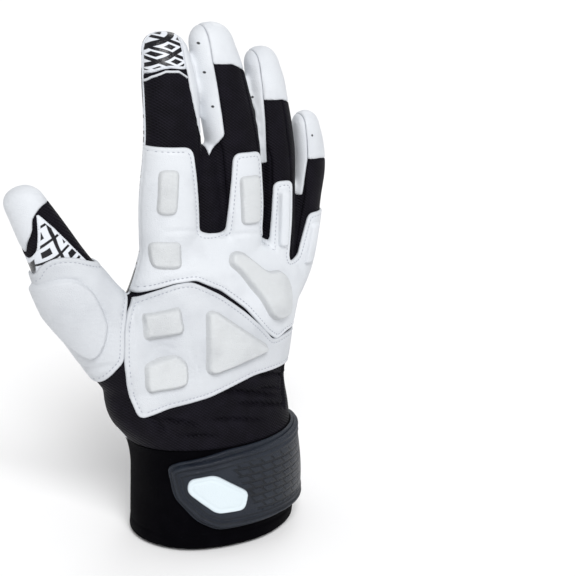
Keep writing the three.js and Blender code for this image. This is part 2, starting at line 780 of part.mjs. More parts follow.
function make_hand_pads() {
  const pads = [
    { name: 'knuckle_chevron_pad', area: chevron_area },
    { name: 'upper_hand_pad', area: upper_area },
    { name: 'lower_hand_pad', area: lower_area },
    { name: 'hand_triangle_pad', area: triangle_area },
  ];
  pads.forEach(({ name, area }) => {
    add(name, raised(hand_pad_rise, block(on_back(area), pad_corner)), 'pad_leather');
  });
  const oval_block = block(on_back(thumb_pad_area), thumb_pad_corner);
  add('thumb_base_pad', raised(thumb_pad_rise, oval_block, thumb_pad_gap, thumb_pad_reach), 'pad_leather');
}
make_finger_pads();
make_hand_pads();

// Piping over the seam of the index fingertip
const piping_line = [
  { across: -1.3, up: 0.73 }, { across: -0.86, up: 0.79 }, { across: -0.4, up: 0.818 },
  { across: 0.1, up: 0.818 }, { across: 0.42, up: 0.79 },
];

function make_piping() {
  const line = on_finger(index, piping_line);
  const lower = line.map((p) => new THREE.Vector2(p.x, p.y - piping_width)).reverse();
  const skin_layer = body(clearance + piping_wall).subtract(body(clearance)).intersect(back_half);
  add('index_tip_piping', skin_layer.intersect(block([...line, ...lower], 0)), 'leather');
}
make_piping();

// Closure strap: a tilted band round the cuff from the little finger's side over the back, with a cover
// and a badge at its end
function cuff_layer(low, high) {
  const ring_body = hand(high, high).subtract(hand(low, low));
  return ring_body.intersect(box([-beyond, -beyond, -beyond], [beyond, side_front, cuff_height]));
}

const strap_area = [
  { across: -0.66, up: -0.23 }, { across: -0.7, up: -0.08 }, { across: -0.6, up: -0.05 },
  { across: -0.1, up: 0.0 }, { across: 1.5, up: 0.015 }, { across: 1.5, up: -0.4 },
  { across: 0.3, up: -0.41 }, { across: -0.28, up: -0.41 }, { across: -0.48, up: -0.355 },
];
const badge_area = [
  { across: -0.55, up: -0.19 }, { across: -0.53, up: -0.125 }, { across: -0.3, up: -0.105 },
  { across: 0.03, up: -0.22 }, { across: -0.02, up: -0.31 }, { across: -0.3, up: -0.31 },
];

function make_strap() {
  const base = cuff_layer(clearance, clearance + strap_wall);
  const cover_bottom = clearance + strap_wall + clearance;
  const cover = cuff_layer(cover_bottom, cover_bottom + strap_cover_wall);
  const badge_bottom = cover_bottom + strap_cover_wall + clearance;
  const badge = cuff_layer(badge_bottom, badge_bottom + badge_wall);
  const outline = on_back(strap_area);
  const edge = widen(outline, -strap_rim);
  add('strap_base', base.intersect(block(outline, strap_corner)), 'rubber');
  add('strap_cover', cover.intersect(block(edge, panel_corner)), 'rubber');
  add('strap_badge', badge.intersect(block(on_back(badge_area), badge_corner)), 'badge_white');
}
make_strap();

export default glove;
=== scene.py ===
# %% [markdown]
# A padded receiver glove for the right hand, standing as a hand holds it. The glove is white synthetic
# leather over black mesh cloth, with foam pads on the back, a printed grip palm, a knitted cuff and a
# moulded rubber strap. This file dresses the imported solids: it makes each piece again as a fine surface
# with its own thickness, seams and stitches, and gives every piece a procedural material.

# %% Load the frame
import math
import bpy
import numpy as np
from mathutils import Matrix


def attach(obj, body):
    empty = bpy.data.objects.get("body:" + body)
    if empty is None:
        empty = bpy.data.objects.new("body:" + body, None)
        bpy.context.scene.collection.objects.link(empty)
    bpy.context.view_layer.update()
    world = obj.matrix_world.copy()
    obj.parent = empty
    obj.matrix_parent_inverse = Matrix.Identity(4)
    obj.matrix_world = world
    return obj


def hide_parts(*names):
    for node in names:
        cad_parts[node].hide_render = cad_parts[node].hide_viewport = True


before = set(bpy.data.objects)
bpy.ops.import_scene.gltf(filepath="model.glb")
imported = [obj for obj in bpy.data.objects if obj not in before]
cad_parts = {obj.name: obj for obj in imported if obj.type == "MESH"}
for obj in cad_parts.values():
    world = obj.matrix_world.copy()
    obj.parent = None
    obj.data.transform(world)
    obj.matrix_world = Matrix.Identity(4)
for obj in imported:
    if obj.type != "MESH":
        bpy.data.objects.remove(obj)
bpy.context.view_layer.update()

MM = 0.001

# %% [markdown]
# A glove is cut flat and sewn, then the hand inside bends it. The same order works here. The whole glove
# is first laid out flat, where each seam is a curve in the plane of x and z. Every finished piece is bent
# at the very end by one formula, so pieces that touch in the flat layout still touch on the hand.

# %% Sizes of the glove, in millimetres
cuff_width = 83
cuff_depth = 66
cuff_height = 50
wrist_width = 88
wrist_depth = 46
palm_width = 94
palm_depth = 38
palm_length = 97
knuckle_width = 92
knuckle_depth = 34
web_slope = 0.3
web_height = cuff_height + palm_length
# y at which the side pieces of the fingers and of the thumb end towards the palm
side_front = 4
thumb_front = 5
# the arch across the hand: x of its crown, half its span, the drop of each side, and its fade in
# above the wrist as a share of the palm
arch_crown = 3
arch_span = 50
pinky_drop = 8
thumb_drop = 6
arch_fade = 0.6
# the fingers' curl: how far their line moves towards the palm at this height above the webs
curl_span = 95
tip_curl = 16
# how much lower a fingertip cap ends at its side, in finger lengths
cap_slant = 0.04


def bend(x, z):
    """How far a point moves towards the palm: a parabola across the hand that goes on as a straight line
    past its span, faded in above the wrist, plus the square of the height above the webs."""
    rise = np.clip((z - cuff_height) / (arch_fade * palm_length), 0, 1)
    rise = rise * rise * (3 - 2 * rise)
    drop = np.where(x > arch_crown, pinky_drop, thumb_drop)
    out = np.abs(x - arch_crown) / arch_span
    arch = np.where(out < 1, out ** 2, 2 * out - 1)
    curl = np.maximum(z - web_height, 0) / curl_span
    return drop * arch * rise + tip_curl * curl ** 2


# %% [markdown]
# The hand and each finger are lofts: an oval that changes its size along a line. Short tables hold the
# sections as shares of the named sizes. A smooth curve runs through the rows of each table, so a finger
# made of seven rows still has a soft outline.

# %% Sections of the hand and the fingers
# up, left, right, deep, squareness, slope; the first three blocks use different sizes
cuff_square = 2.1
cuff_rows = [(0, 0.5, 0.52, 0.5, cuff_square, 0), (0.5, 0.495, 0.53, 0.5, cuff_square, 0),
             (1, 0.535, 0.495, 0.46, cuff_square, 0)]
wrist_rows = [(0.1, 0.585, 0.46, 0.585, 2.2, 0), (0.24, 0.62, 0.445, 0.48, 2.3, 0)]
palm_rows = [(0.37, 0.55, 0.445, 0.53, 2.4, 0), (0.52, 0.52, 0.48, 0.51, 2.5, 0),
             (0.66, 0.47, 0.52, 0.48, 2.6, 0)]
knuckle_rows = [(0.79, 0.43, 0.56, 0.47, 2.7, 0.36), (0.92, 0.395, 0.58, 0.42, 2.7, 0.8),
                (1.1, 0.38, 0.57, 0.28, 2.7, 1)]


def hand_table():
    """All sections of the hand in millimetres: height, left, right, half depth, squareness, slope."""
    blocks = [
        (cuff_rows, cuff_width, cuff_depth, 0, cuff_height),
        (wrist_rows, wrist_width, wrist_depth, cuff_height, palm_length),
        (palm_rows, palm_width, palm_depth, cuff_height, palm_length),
        (knuckle_rows, knuckle_width, knuckle_depth, cuff_height, palm_length),
    ]
    return np.array([
        (start + up * tall, left * wide, right * wide, deep * thick, square, slope * web_slope)
        for rows, wide, thick, start, tall in blocks
        for up, left, right, deep, square, slope in rows
    ])


# name: x and z of the root, length, width, depth, then rows of up, lean, wide, deep
fingers = {
    "index": (-21.8, web_height, 93, 25.6, 21.6, [
        (-0.4, 0.0, 0.95, 0.95), (-0.05, -0.01, 1.05, 1), (0.19, -0.012, 1.03, 1),
        (0.38, 0.012, 1.02, 0.98), (0.52, 0.022, 1, 0.95), (0.8, 0.026, 0.93, 0.86),
        (0.88, 0.024, 0.85, 0.77)]),
    "middle": (12, web_height - 3, 100, 24, 22, [
        (-0.35, -0.03, 0.98, 0.95), (-0.05, -0.005, 0.97, 1), (0.2, 0, 1.05, 1), (0.52, -0.022, 1.12, 0.95),
        (0.64, -0.041, 1.1, 0.92), (0.82, -0.068, 1.02, 0.86), (0.885, -0.078, 0.94, 0.79)]),
    "ring": (36, web_height - 9, 94, 21.2, 20.4, [
        (-0.3, -0.045, 1, 0.95), (0, -0.006, 0.97, 1), (0.3, -0.004, 0.95, 1), (0.5, -0.004, 0.98, 0.98),
        (0.72, -0.03, 1, 0.92), (0.85, -0.045, 0.98, 0.88), (0.905, -0.053, 0.9, 0.8)]),
    "pinky": (51.8, web_height - 18, 72, 18.8, 18.4, [
        (-0.28, -0.16, 0.85, 0.8), (-0.06, -0.05, 1, 1), (0.26, 0.03, 0.98, 1), (0.44, 0.055, 0.98, 1),
        (0.64, 0.09, 1.03, 0.98), (0.82, 0.08, 0.98, 0.9), (0.885, 0.072, 0.9, 0.82)]),
    "thumb": (-38.5, 87, 100, 28, 24, [
        (-0.14, 0.1, 1.28, 1.3), (0.0, 0.0, 1.42, 1.4), (0.14, -0.11, 1.32, 1.3), (0.28, -0.22, 1.14, 1.15),
        (0.42, -0.3, 1.0, 1.02), (0.53, -0.355, 0.85, 0.94), (0.63, -0.405, 0.77, 0.86),
        (0.77, -0.475, 0.64, 0.74)]),
    "membrane": (-4.5, web_height, 46, 14, 15, [
        (-0.3, 0, 1, 1), (0.35, 0, 1, 0.95), (0.8, 0, 0.75, 0.8)]),
}


def smooth_table(rows, count):
    """Rows of a table filled in to count rows. Each column follows a cubic between neighbouring rows
    whose slopes are the mean slopes of the rows on either side, measured along the first column."""
    rows = np.asarray(rows, float)
    t = rows[:, 0]
    slope = np.gradient(rows, t, axis=0)
    at = np.linspace(t[0], t[-1], count)
    i = np.clip(np.searchsorted(t, at, side="right") - 1, 0, len(t) - 2)
    h = (t[i + 1] - t[i])[:, None]
    u = ((at - t[i]) / (t[i + 1] - t[i]))[:, None]
    return ((2 * u ** 3 - 3 * u ** 2 + 1) * rows[i] + (u ** 3 - 2 * u ** 2 + u) * h * slope[i]
            + (3 * u ** 2 - 2 * u ** 3) * rows[i + 1] + (u ** 3 - u ** 2) * h * slope[i + 1])


def on(name, across, up):
    """A point of the flat layout on a finger: across in half widths from its middle line, up in
    lengths. Past 1 or -1 across it lies beside the finger, so an outline can run past its edge."""
    x, z, length, width, _, rows = fingers[name]
    at, lean, wide, _ = np.array(rows).T
    middle = x + np.interp(up, at, lean) * length
    return (middle + across * np.interp(up, at, wide) * width / 2, z + up * length)


def on_hand(across, up):
    """A point of the flat layout on the hand: across in half palm widths, up in palm lengths."""
    return (across * palm_width / 2, cuff_height + up * palm_length)


def between(left, right, up):
    """The middle of the gap between two fingers, up in lengths of the left one."""
    edge = on(left, 1, up)
    share = (edge[1] - fingers[right][1]) / fingers[right][2]
    other = on(right, -1, share)
    return ((edge[0] + other[0]) / 2, (edge[1] + other[1]) / 2)


print("hand sections:", len(hand_table()), "sleeves:", len(fingers))

# %% [markdown]
# The six lofts and the hand overlap like the parts of a balloon animal. Blender's voxel remesh turns them
# into one skin, and a few rounds of averaging each point with its neighbours fillet the creases between
# the fingers. That skin is only a guide: every sewn piece is cut out of it.

# %% Loft the hand and fingers into one skin
ring_points = 64
ring_turn = 2 * np.pi * np.arange(ring_points) / ring_points
hand_ring_count = 110
sleeve_ring_count = 48
sleeve_square = 2.2
dome_ring_count = 10
dome_square = 2.3
voxel = 1.0
smoothing_rounds = 7


def superellipse(angle, half_x, half_y, square):
    """An oval that gets squarer with the number square: x is half_x times the cosine of the angle, whose
    size is raised to the power 2 / square, and y is half_y times the sine in the same way."""
    c, s = np.cos(angle), np.sin(angle)
    power = 2 / np.asarray(square, float)
    x = half_x * np.sign(c) * np.abs(c) ** power
    y = half_y * np.sign(s) * np.abs(s) ** power
    return x, y


def grid_faces(rows, columns, closed=True):
    """Quads between the points of a grid, whose columns close into a ring unless closed is False."""
    r = np.arange(rows - 1)[:, None]
    c = np.arange(columns if closed else columns - 1)[None, :]
    n = (c + 1) % columns
    quads = np.stack(np.broadcast_arrays(r * columns + c, r * columns + n, (r + 1) * columns + n,
                                         (r + 1) * columns + c), -1)
    return quads.reshape(-1, 4)


def halved(quads):
    """Each quad as two triangles."""
    return np.concatenate([quads[:, [0, 1, 2]], quads[:, [0, 2, 3]]])


def hand_rings():
    """Rings of the hand: ovals at rising heights that sink towards the little finger by their slope."""
    rows = smooth_table(hand_table(), hand_ring_count)
    z, left, right, deep, square, slope = [column[:, None] for column in rows.T]
    x, y = superellipse(ring_turn, (left + right) / 2, deep, square)
    at = (right - left) / 2 + x
    return np.stack([at, y, z - slope * (at + left)], -1)


def sleeve_rings(name):
    """Rings across a finger's leaning middle line, then a dome whose radius is a superellipse of its
    height."""
    x0, z0, length, width, depth, rows = fingers[name]
    table = smooth_table(rows, sleeve_ring_count)
    centre = np.stack([x0 + table[:, 1] * length, z0 + table[:, 0] * length], -1)
    along = np.gradient(centre, axis=0)
    along /= np.linalg.norm(along, axis=1, keepdims=True)
    half_x, half_y = table[:, 2] * width / 2, table[:, 3] * depth / 2
    share = np.sin(np.linspace(0, np.pi / 2, dome_ring_count + 2))[1:-1]
    narrow = (1 - share ** dome_square) ** (1 / dome_square)
    centre = np.concatenate([centre, centre[-1] + share[:, None] * half_x[-1] * along[-1]])
    along = np.concatenate([along, np.repeat(along[-1:], len(share), 0)])
    half_x = np.concatenate([half_x, half_x[-1] * narrow])
    half_y = np.concatenate([half_y, half_y[-1] * narrow])
    x, y = superellipse(ring_turn, half_x[:, None], half_y[:, None], sleeve_square)
    return np.stack([centre[:, :1] + along[:, 1:] * x, y, centre[:, 1:] - along[:, :1] * x], -1)


def closed_loft(rings):
    """A grid of rings with a point in the middle of each end, as vertices and faces."""
    rows, columns = rings.shape[:2]
    points = np.concatenate([rings.reshape(-1, 3), rings[:1].mean(1), rings[-1:].mean(1)])
    ring = np.arange(columns)
    after = (ring + 1) % columns
    low, high = rows * columns, rows * columns + 1
    top = (rows - 1) * columns
    lids = [np.stack([np.full(columns, low), after, ring], -1),
            np.stack([np.full(columns, high), top + ring, top + after], -1)]
    return points, grid_faces(rows, columns), np.concatenate(lids)


def one_skin():
    """The lofts joined by voxel remesh: points and triangles in millimetres."""
    parts = [closed_loft(hand_rings())] + [closed_loft(sleeve_rings(name)) for name in fingers]
    starts = np.cumsum([0] + [len(p[0]) for p in parts])
    points = np.concatenate([p[0] for p in parts])
    quads = np.concatenate([p[1] + s for p, s in zip(parts, starts)])
    triangles = np.concatenate([p[2] + s for p, s in zip(parts, starts)])
    mesh = bpy.data.meshes.new("skin_guide")
    mesh.from_pydata(points.tolist(), [], quads.tolist() + triangles.tolist())
    mesh.update()
    guide = bpy.data.objects.new("skin_guide", mesh)
    bpy.context.scene.collection.objects.link(guide)
    remesh = guide.modifiers.new("one skin", "REMESH")
    remesh.mode = "VOXEL"
    remesh.voxel_size = voxel
    result = guide.evaluated_get(bpy.context.evaluated_depsgraph_get()).to_mesh()
    result.calc_loop_triangles()
    v = np.empty(len(result.vertices) * 3)
    t = np.empty(len(result.loop_triangles) * 3, np.int32)
    result.vertices.foreach_get("co", v)
    result.loop_triangles.foreach_get("vertices", t)
    guide.to_mesh_clear()
    bpy.data.objects.remove(guide)
    return v.reshape(-1, 3), t.reshape(-1, 3).astype(np.int64)


def averaged(points, triangles, rounds):
    """Each round moves every point halfway to the mean of its neighbours."""
    a, b = triangles.ravel(), np.roll(triangles, -1, axis=1).ravel()
    ends, others = np.concatenate([a, b]), np.concatenate([b, a])
    count = np.bincount(ends, minlength=len(points))[:, None]
    for _ in range(rounds):
        total = np.stack([np.bincount(ends, points[others, k], len(points)) for k in range(3)], -1)
        points = points + 0.5 * (total / count - points)
    return points


def normals_of(points, triangles):
    """Unit normals at the points: the sum of the normals of the triangles around each, by area."""
    a, b, c = (points[triangles[:, k]] for k in range(3))
    face = np.cross(b - a, c - a)
    total = np.stack([sum(np.bincount(triangles[:, k], face[:, j], len(points)) for k in range(3))
                      for j in range(3)], -1)
    return total / np.maximum(np.linalg.norm(total, axis=1, keepdims=True), 1e-12)


skin_points, skin_triangles = one_skin()
skin_points = averaged(skin_points, skin_triangles, smoothing_rounds)
skin_normals = normals_of(skin_points, skin_triangles)
print("skin:", len(skin_points), "points,", len(skin_triangles), "triangles, z",
      skin_points[:, 2].min().round(1), "to", skin_points[:, 2].max().round(1))

# %% [markdown]
# A pattern maker draws each piece as an outline on the flat layout. Here an outline is a list of corners
# in x and z, rounded by short curves, and its signed distance says for any point how far outside or
# inside it lies. The piece is the part of the skin where that distance is below zero. Triangles that
# cross the line are cut exactly on it, so edges come out clean.

# %% Outlines and exact cutting
far = 1e3
corner_share = 0.45
sliver = 0.02


def rounded(corners, radius, steps=5):
    """Corners replaced by quadratic curves that start and end a radius away, or at the corner's share
    of its side where the side is short."""
    p = np.asarray(corners, float)
    before, after = np.roll(p, 1, axis=0), np.roll(p, -1, axis=0)

    def toward(end):
        """The points on the sides towards the neighbouring corners."""
        length = np.linalg.norm(end - p, axis=1, keepdims=True)
        return p + (end - p) * np.minimum(radius / length, corner_share)

    start, finish = toward(before), toward(after)
    t = np.linspace(0, 1, steps)[None, :, None]
    curve = (1 - t) ** 2 * start[:, None] + 2 * t * (1 - t) * p[:, None] + t ** 2 * finish[:, None]
    return curve.reshape(-1, 2)


def outline_distance(line, x, z, margin=12.0):
    """Signed distance to a closed line, negative inside: the nearest of its segments, with the sign from
    how many segments a ray along x crosses. Points beyond the margin get a large value."""
    result = np.full(len(x), far)
    low, high = line.min(0) - margin, line.max(0) + margin
    near = (x > low[0]) & (x < high[0]) & (z > low[1]) & (z < high[1])
    px, pz = x[near], z[near]
    best = np.full(len(px), far ** 2)
    inside = np.zeros(len(px), bool)
    for (ax, az), (bx, bz) in zip(line, np.roll(line, -1, axis=0)):
        dx, dz = bx - ax, bz - az
        squared = dx * dx + dz * dz
        if squared < 1e-9:
            continue
        u = np.clip(((px - ax) * dx + (pz - az) * dz) / squared, 0, 1)
        best = np.minimum(best, (px - ax - u * dx) ** 2 + (pz - az - u * dz) ** 2)
        crosses = (az > pz) != (bz > pz)
        if az != bz:
            inside ^= crosses & (px < ax + (pz - az) * dx / dz)
    result[near] = np.where(inside, -1, 1) * np.sqrt(best)
    return result


def clip(points, triangles, field, *others):
    """The part of a mesh where field is at most zero. New points lie where the field crosses zero along
    an edge, but not so close to its ends that slivers arise, and every other array given is carried
    along by the same mix of the edge's two ends."""
    inside = field <= 0
    count = inside[triangles].sum(1)
    whole = triangles[count == 3]
    cut_one, cut_two = triangles[count == 1], triangles[count == 2]
    turn_one = np.argmax(inside[cut_one], axis=1)
    turn_two = np.argmax(~inside[cut_two], axis=1)
    order = np.arange(3)[None, :]
    one = np.take_along_axis(cut_one, (order + turn_one[:, None]) % 3, 1)
    two = np.take_along_axis(cut_two, (order + turn_two[:, None]) % 3, 1)
    edges = np.concatenate([one[:, [0, 1]], one[:, [0, 2]], two[:, [0, 1]], two[:, [0, 2]]])
    edges = np.sort(edges, axis=1)
    unique, place = np.unique(edges, axis=0, return_inverse=True)
    place = place.ravel() + len(points)
    a, b = unique[:, 0], unique[:, 1]
    share = np.clip(field[a] / (field[a] - field[b]), sliver, 1 - sliver)
    n1, n2 = len(one), len(two)
    e = [place[:n1], place[n1:2 * n1], place[2 * n1:2 * n1 + n2], place[2 * n1 + n2:]]
    triangles = np.concatenate([
        whole,
        np.stack([one[:, 0], e[0], e[1]], -1),
        np.stack([two[:, 1], two[:, 2], e[2]], -1),
        np.stack([two[:, 2], e[3], e[2]], -1),
    ])
    used, renamed = np.unique(triangles, return_inverse=True)
    carried = []
    for values in (points, field) + others:
        mix = share.reshape(-1, *[1] * (values.ndim - 1))
        new = values[a] + mix * (values[b] - values[a])
        carried.append(np.concatenate([values, new])[used])
    carried[1] = np.minimum(carried[1], 0)
    return [renamed.reshape(-1, 3)] + carried


def sides_of(triangles):
    """The three sides of every triangle, all first sides before all second ones."""
    return np.concatenate([triangles[:, [0, 1]], triangles[:, [1, 2]], triangles[:, [2, 0]]])


def refined(points, triangles, *others):
    """Each triangle split into four at the middles of its sides."""
    unique, place = np.unique(np.sort(sides_of(triangles), axis=1), axis=0, return_inverse=True)
    ab, bc, ca = np.split(place.ravel() + len(points), 3)
    a, b, c = triangles.T
    four = ((a, ab, ca), (ab, b, bc), (ca, bc, c), (ab, bc, ca))
    finer = np.concatenate([np.stack(t, -1) for t in four])
    carried = [np.concatenate([v, v[unique].mean(1)]) for v in (points,) + others]
    return [finer] + carried


# %% [markdown]
# Every cut piece of cloth or leather becomes a closed shell: the skin moved out along its normals for
# the outside, moved less for the inside, and a rim of quads that joins them along the cut. Close to the
# cut the outside is pulled in, which rounds the edge as a turned or skived edge is. Two measures are
# stored on the points for the materials: the place in the flat layout, and the distance from the edge.

# %% Turn a cut piece into a closed shell
sharp_angle = math.radians(50)
pieces = {}


def object_from(name, points, triangles, lay, edge):
    """A mesh object in metres from points in flat millimetres, bent, with its two stored measures."""
    bent = points.copy()
    bent[:, 1] += bend(points[:, 0], points[:, 2])
    mesh = bpy.data.meshes.new(name)
    count = len(triangles)
    size = triangles.shape[1]
    mesh.vertices.add(len(points))
    mesh.vertices.foreach_set("co", (bent * MM).ravel())
    mesh.loops.add(count * size)
    mesh.loops.foreach_set("vertex_index", triangles.astype(np.int32).ravel())
    mesh.polygons.add(count)
    mesh.polygons.foreach_set("loop_start", np.arange(0, count * size, size, dtype=np.int32))
    mesh.update(calc_edges=True)
    mesh.polygons.foreach_set("use_smooth", np.ones(count, bool))
    mesh.set_sharp_from_angle(angle=sharp_angle)
    measure = mesh.attributes.new("lay", "FLOAT_VECTOR", "POINT")
    measure.data.foreach_set("vector", (lay * MM).ravel())
    measure = mesh.attributes.new("edge", "FLOAT", "POINT")
    measure.data.foreach_set("value", (edge * MM).ravel())
    piece = bpy.data.objects.new(f"{name}_surface", mesh)
    bpy.context.scene.collection.objects.link(piece)
    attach(piece, "root")
    return piece


def stands_in(piece, name):
    """Note a finished piece in the place of the solid of that name, which is hidden."""
    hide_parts(name)
    pieces[name] = piece


def shell(name, points, triangles, normals, edge, outer, inner):
    """A closed shell over a cut piece. outer and inner are how far its two faces lie along the normals,
    and the sides that only one triangle has are its rim."""
    count = len(points)
    sides = sides_of(triangles)
    _, first, times = np.unique(np.sort(sides, axis=1), axis=0, return_index=True, return_counts=True)
    rim = sides[first[times == 1]]
    a, b = rim.T
    faces = np.concatenate([
        triangles,
        triangles[:, ::-1] + count,
        np.stack([b, a, a + count], -1),
        np.stack([b, a + count, b + count], -1),
    ])
    both = np.concatenate([points + normals * np.reshape(outer, (-1, 1)),
                           points + normals * np.reshape(inner, (-1, 1))])
    return object_from(name, both, faces, np.tile(points, (2, 1)), np.tile(edge, 2))


def rolled(distance, radius):
    """A quarter circle that rises from 0 at the edge to 1 at the radius."""
    return np.sqrt(np.clip(1 - (1 - np.clip(distance / radius, 0, 1)) ** 2, 0, 1))


# %% [markdown]
# The bottom layer is mesh cloth, leather and grip cloth sewn edge to edge. Each piece takes its area out
# of what the pieces before it left over, as in the solids: first the fingertips and the leather sides,
# then the index fingertip, the gussets between the fingers and the thumb, and last the back and palm.

# %% Areas of the bottom layer
sewn_gap = 0.08
cuff_clear = 0.3
thumb_root = -1.06
seam_corner = 0.8
gusset_corner = 1.5
wide_corner = 3
# outlines run past a finger's tip and its outer side by this many lengths and half widths
past_tip = 1.2
past_side = -1.35
web_depth = 5
# the finger, its neighbour, and where the seams of its tip and side run: top, seam, foot and side in half
# widths, low, heel and gap in lengths
tip_seams = [
    ("middle", "index", dict(top=-0.48, seam=-0.48, foot=-0.6, side=1.12, low=0.815, heel=0.5, gap=0.4)),
    ("ring", "middle", dict(top=-0.6, seam=-0.69, foot=-0.88, side=1.6, low=0.75, heel=0.435, gap=0.345)),
    ("pinky", "ring", dict(top=-0.5, seam=-0.62, foot=-0.78, side=2, low=0.69, heel=0.45, gap=0.249)),
]
# both fingers, the gusset's sides and ends, and x of its two lower corners beside the web
gusset_rows = [
    ("index", "middle", dict(inner=0.74, outer=-0.72, top=0.62, foot=0.44, lower=(-3.2, 3))),
    ("middle", "ring", dict(inner=0.74, outer=-0.72, top=0.86, foot=0.46, lower=(-3, 2.65))),
    ("ring", "pinky", dict(inner=0.3, outer=-0.66, top=0.8, foot=0.5, lower=(-2.65, 2.35))),
]


def web(left, right, lower):
    """The point below the web between two fingers where the sloping top of the hand's loft, lowered by
    so many millimetres, meets the middle of their gap."""
    x = between(left, right, 0)[0]
    top = knuckle_rows[-1]
    return (x, cuff_height + top[0] * palm_length - web_slope * (x + top[1] * knuckle_width) - lower)


def shifted(point, dx):
    """The point moved by dx across the hand."""
    return (point[0] + dx, point[1])


# name, y where it ends towards the palm, radius of its corners, corners
areas = []
for name, _, k in tip_seams:
    areas.append((f"{name}_tip_cap", side_front, seam_corner, [
        on(name, k["seam"], k["low"]), on(name, k["top"], past_tip), on(name, k["side"], past_tip),
        on(name, k["side"], k["low"] - cap_slant), on(name, 0.3, k["low"])]))
for name, left, k in tip_seams:
    areas.append((f"{name}_fourchette", side_front, seam_corner, [
        between(left, name, k["gap"]), between(left, name, k["gap"] + 0.25), on(name, past_side, 0.9),
        on(name, past_side, past_tip), on(name, k["top"], past_tip), on(name, k["seam"], k["low"]),
        on(name, k["foot"], k["heel"])]))
areas.append(("index_side_strip", side_front, wide_corner, [
    on("index", *p) for p in [
        (0.88, 0.5), (0.62, 0.64), (0.5, 0.74), (0.5, past_tip), (1.5, past_tip), (1.35, 0.5)]]))
areas.append(("index_tip_wrap", 0, wide_corner, [
    on("index", *p) for p in [
        (-1.6, 0.77), (-1.6, past_tip), (0.6, past_tip), (0.6, 0.82), (-0.3, 0.83)]]))
for left, right, k in gusset_rows:
    below_web = web(left, right, web_depth)
    areas.append((f"{left}_{right}_gusset", side_front, gusset_corner, [
        shifted(below_web, k["lower"][0]), on(left, k["inner"], 0.08), on(left, k["inner"], 0.4),
        on(left, k["inner"], k["top"]), on(left, 1.15, k["top"]), between(left, right, 0.6),
        on(right, k["outer"], k["foot"]), on(right, k["outer"], 0.08),
        shifted(below_web, k["lower"][1])]))
areas.append(("thumb_tip_cap", thumb_front, wide_corner, [
    on("thumb", *p) for p in [
        (-3, 0.48), (-2.68, 0.98), (1.23, 0.98), (1.23, 0.8), (0.446, 0.785), (-0.264, 0.73),
        (-0.515, 0.675), (-0.955, 0.61), (-1.167, 0.48)]]))
areas.append(("thumb_print_panel", thumb_front, gusset_corner, [
    on("thumb", *p) for p in [
        (-0.385, 0.66), (0.082, 0.755), (0.472, 0.685), (0.757, 0.59), (1, 0.485), (0.594, 0.5),
        (-0.086, 0.52), (-0.6, 0.48), (-1.05, 0.39), (-1.4, 0.45), (-1.05, 0.535), (-0.72, 0.585)]]))

above_cuff = cuff_height + cuff_clear - skin_points[:, 2]


def area_fields():
    """For each area its field on the skin, below zero inside: the outline, the limit towards the palm,
    and what earlier areas have taken, whichever is greatest."""
    x, y, z = skin_points.T
    taken = np.full(len(x), -far)
    fields = {}
    for name, front, radius, corners in areas:
        own = np.maximum(outline_distance(rounded(corners, radius), x, z), y - front)
        fields[name] = np.maximum(np.maximum(own, taken + sewn_gap), above_cuff)
        taken = np.maximum(taken, -own)
    seam = y - np.where(x < on_hand(thumb_root, 0)[0], thumb_front, 0)
    for name, side in (("back_mesh", seam), ("palm_panel", -seam)):
        fields[name] = np.maximum(np.maximum(side + sewn_gap / 2, taken + sewn_gap), above_cuff)
    return fields


bottom_fields = area_fields()
print("areas of the bottom layer:", ", ".join(bottom_fields))

# %% [markdown]
# Real cloth is never perfectly smooth. A crease is a soft line: a valley whose depth falls off with the
# distance from the line and towards its two ends, with a low ridge on either side. A short table places
# the folds of the mesh above the strap, at the ball of the thumb and between the fingers.

# %% Folds in the cloth and leather
# x, z of both ends, half width, depth: all in the flat layout
mesh_folds = [
    (-8, 76, 26, 66, 1.5, 1.9), (0, 69, 34, 59, 1.4, 1.8), (-14, 64, 16, 57, 1.3, 1.4),
    (14, 80, 36, 72, 1.4, 1.8), (-38, 66, -18, 60, 1.6, 1.5), (-46, 74, -36, 58, 2.0, 1.6),
    (-30, 58, -8, 54, 1.3, 1.2), (12, 73, 30, 68, 1.1, 1.2), (31, 58, 36, 86, 1.5, 2.2),
]
leather_folds = [
    (-66, 86, -54, 92, 2.4, 0.5), (-78, 132, -66, 130, 1.6, 0.35), (-52, 118, -46, 100, 1.8, 0.45),
    (-30, 152, -14, 150, 1.8, 0.35), (4, 148, 18, 146, 1.8, 0.35), (-34, 128, -12, 131, 1.6, 0.25),
    (-36, 100, -28, 97, 1.6, 0.3), (-22, 100, -18, 80, 1.6, 0.3),
]
palm_folds = [
    (-38, 92, -22, 122, 3, 1.0), (-22, 122, 18, 128, 3, 0.9), (-30, 78, 6, 98, 3, 0.8),
    (-32, 149, -12, 149, 2.2, 0.8), (2, 145, 22, 145, 2.2, 0.8), (26, 140, 45, 140, 2.2, 0.8),
    (44, 131, 60, 133, 2, 0.7), (-33, 180, -10, 180, 2, 0.6), (0, 182, 24, 182, 2, 0.6),
    (26, 172, 46, 172, 2, 0.6), (-60, 60, -30, 66, 2.6, 0.7), (-66, 110, -48, 124, 2.6, 0.8),
]
fold_swell = 1.2
fold_wander = 1.5


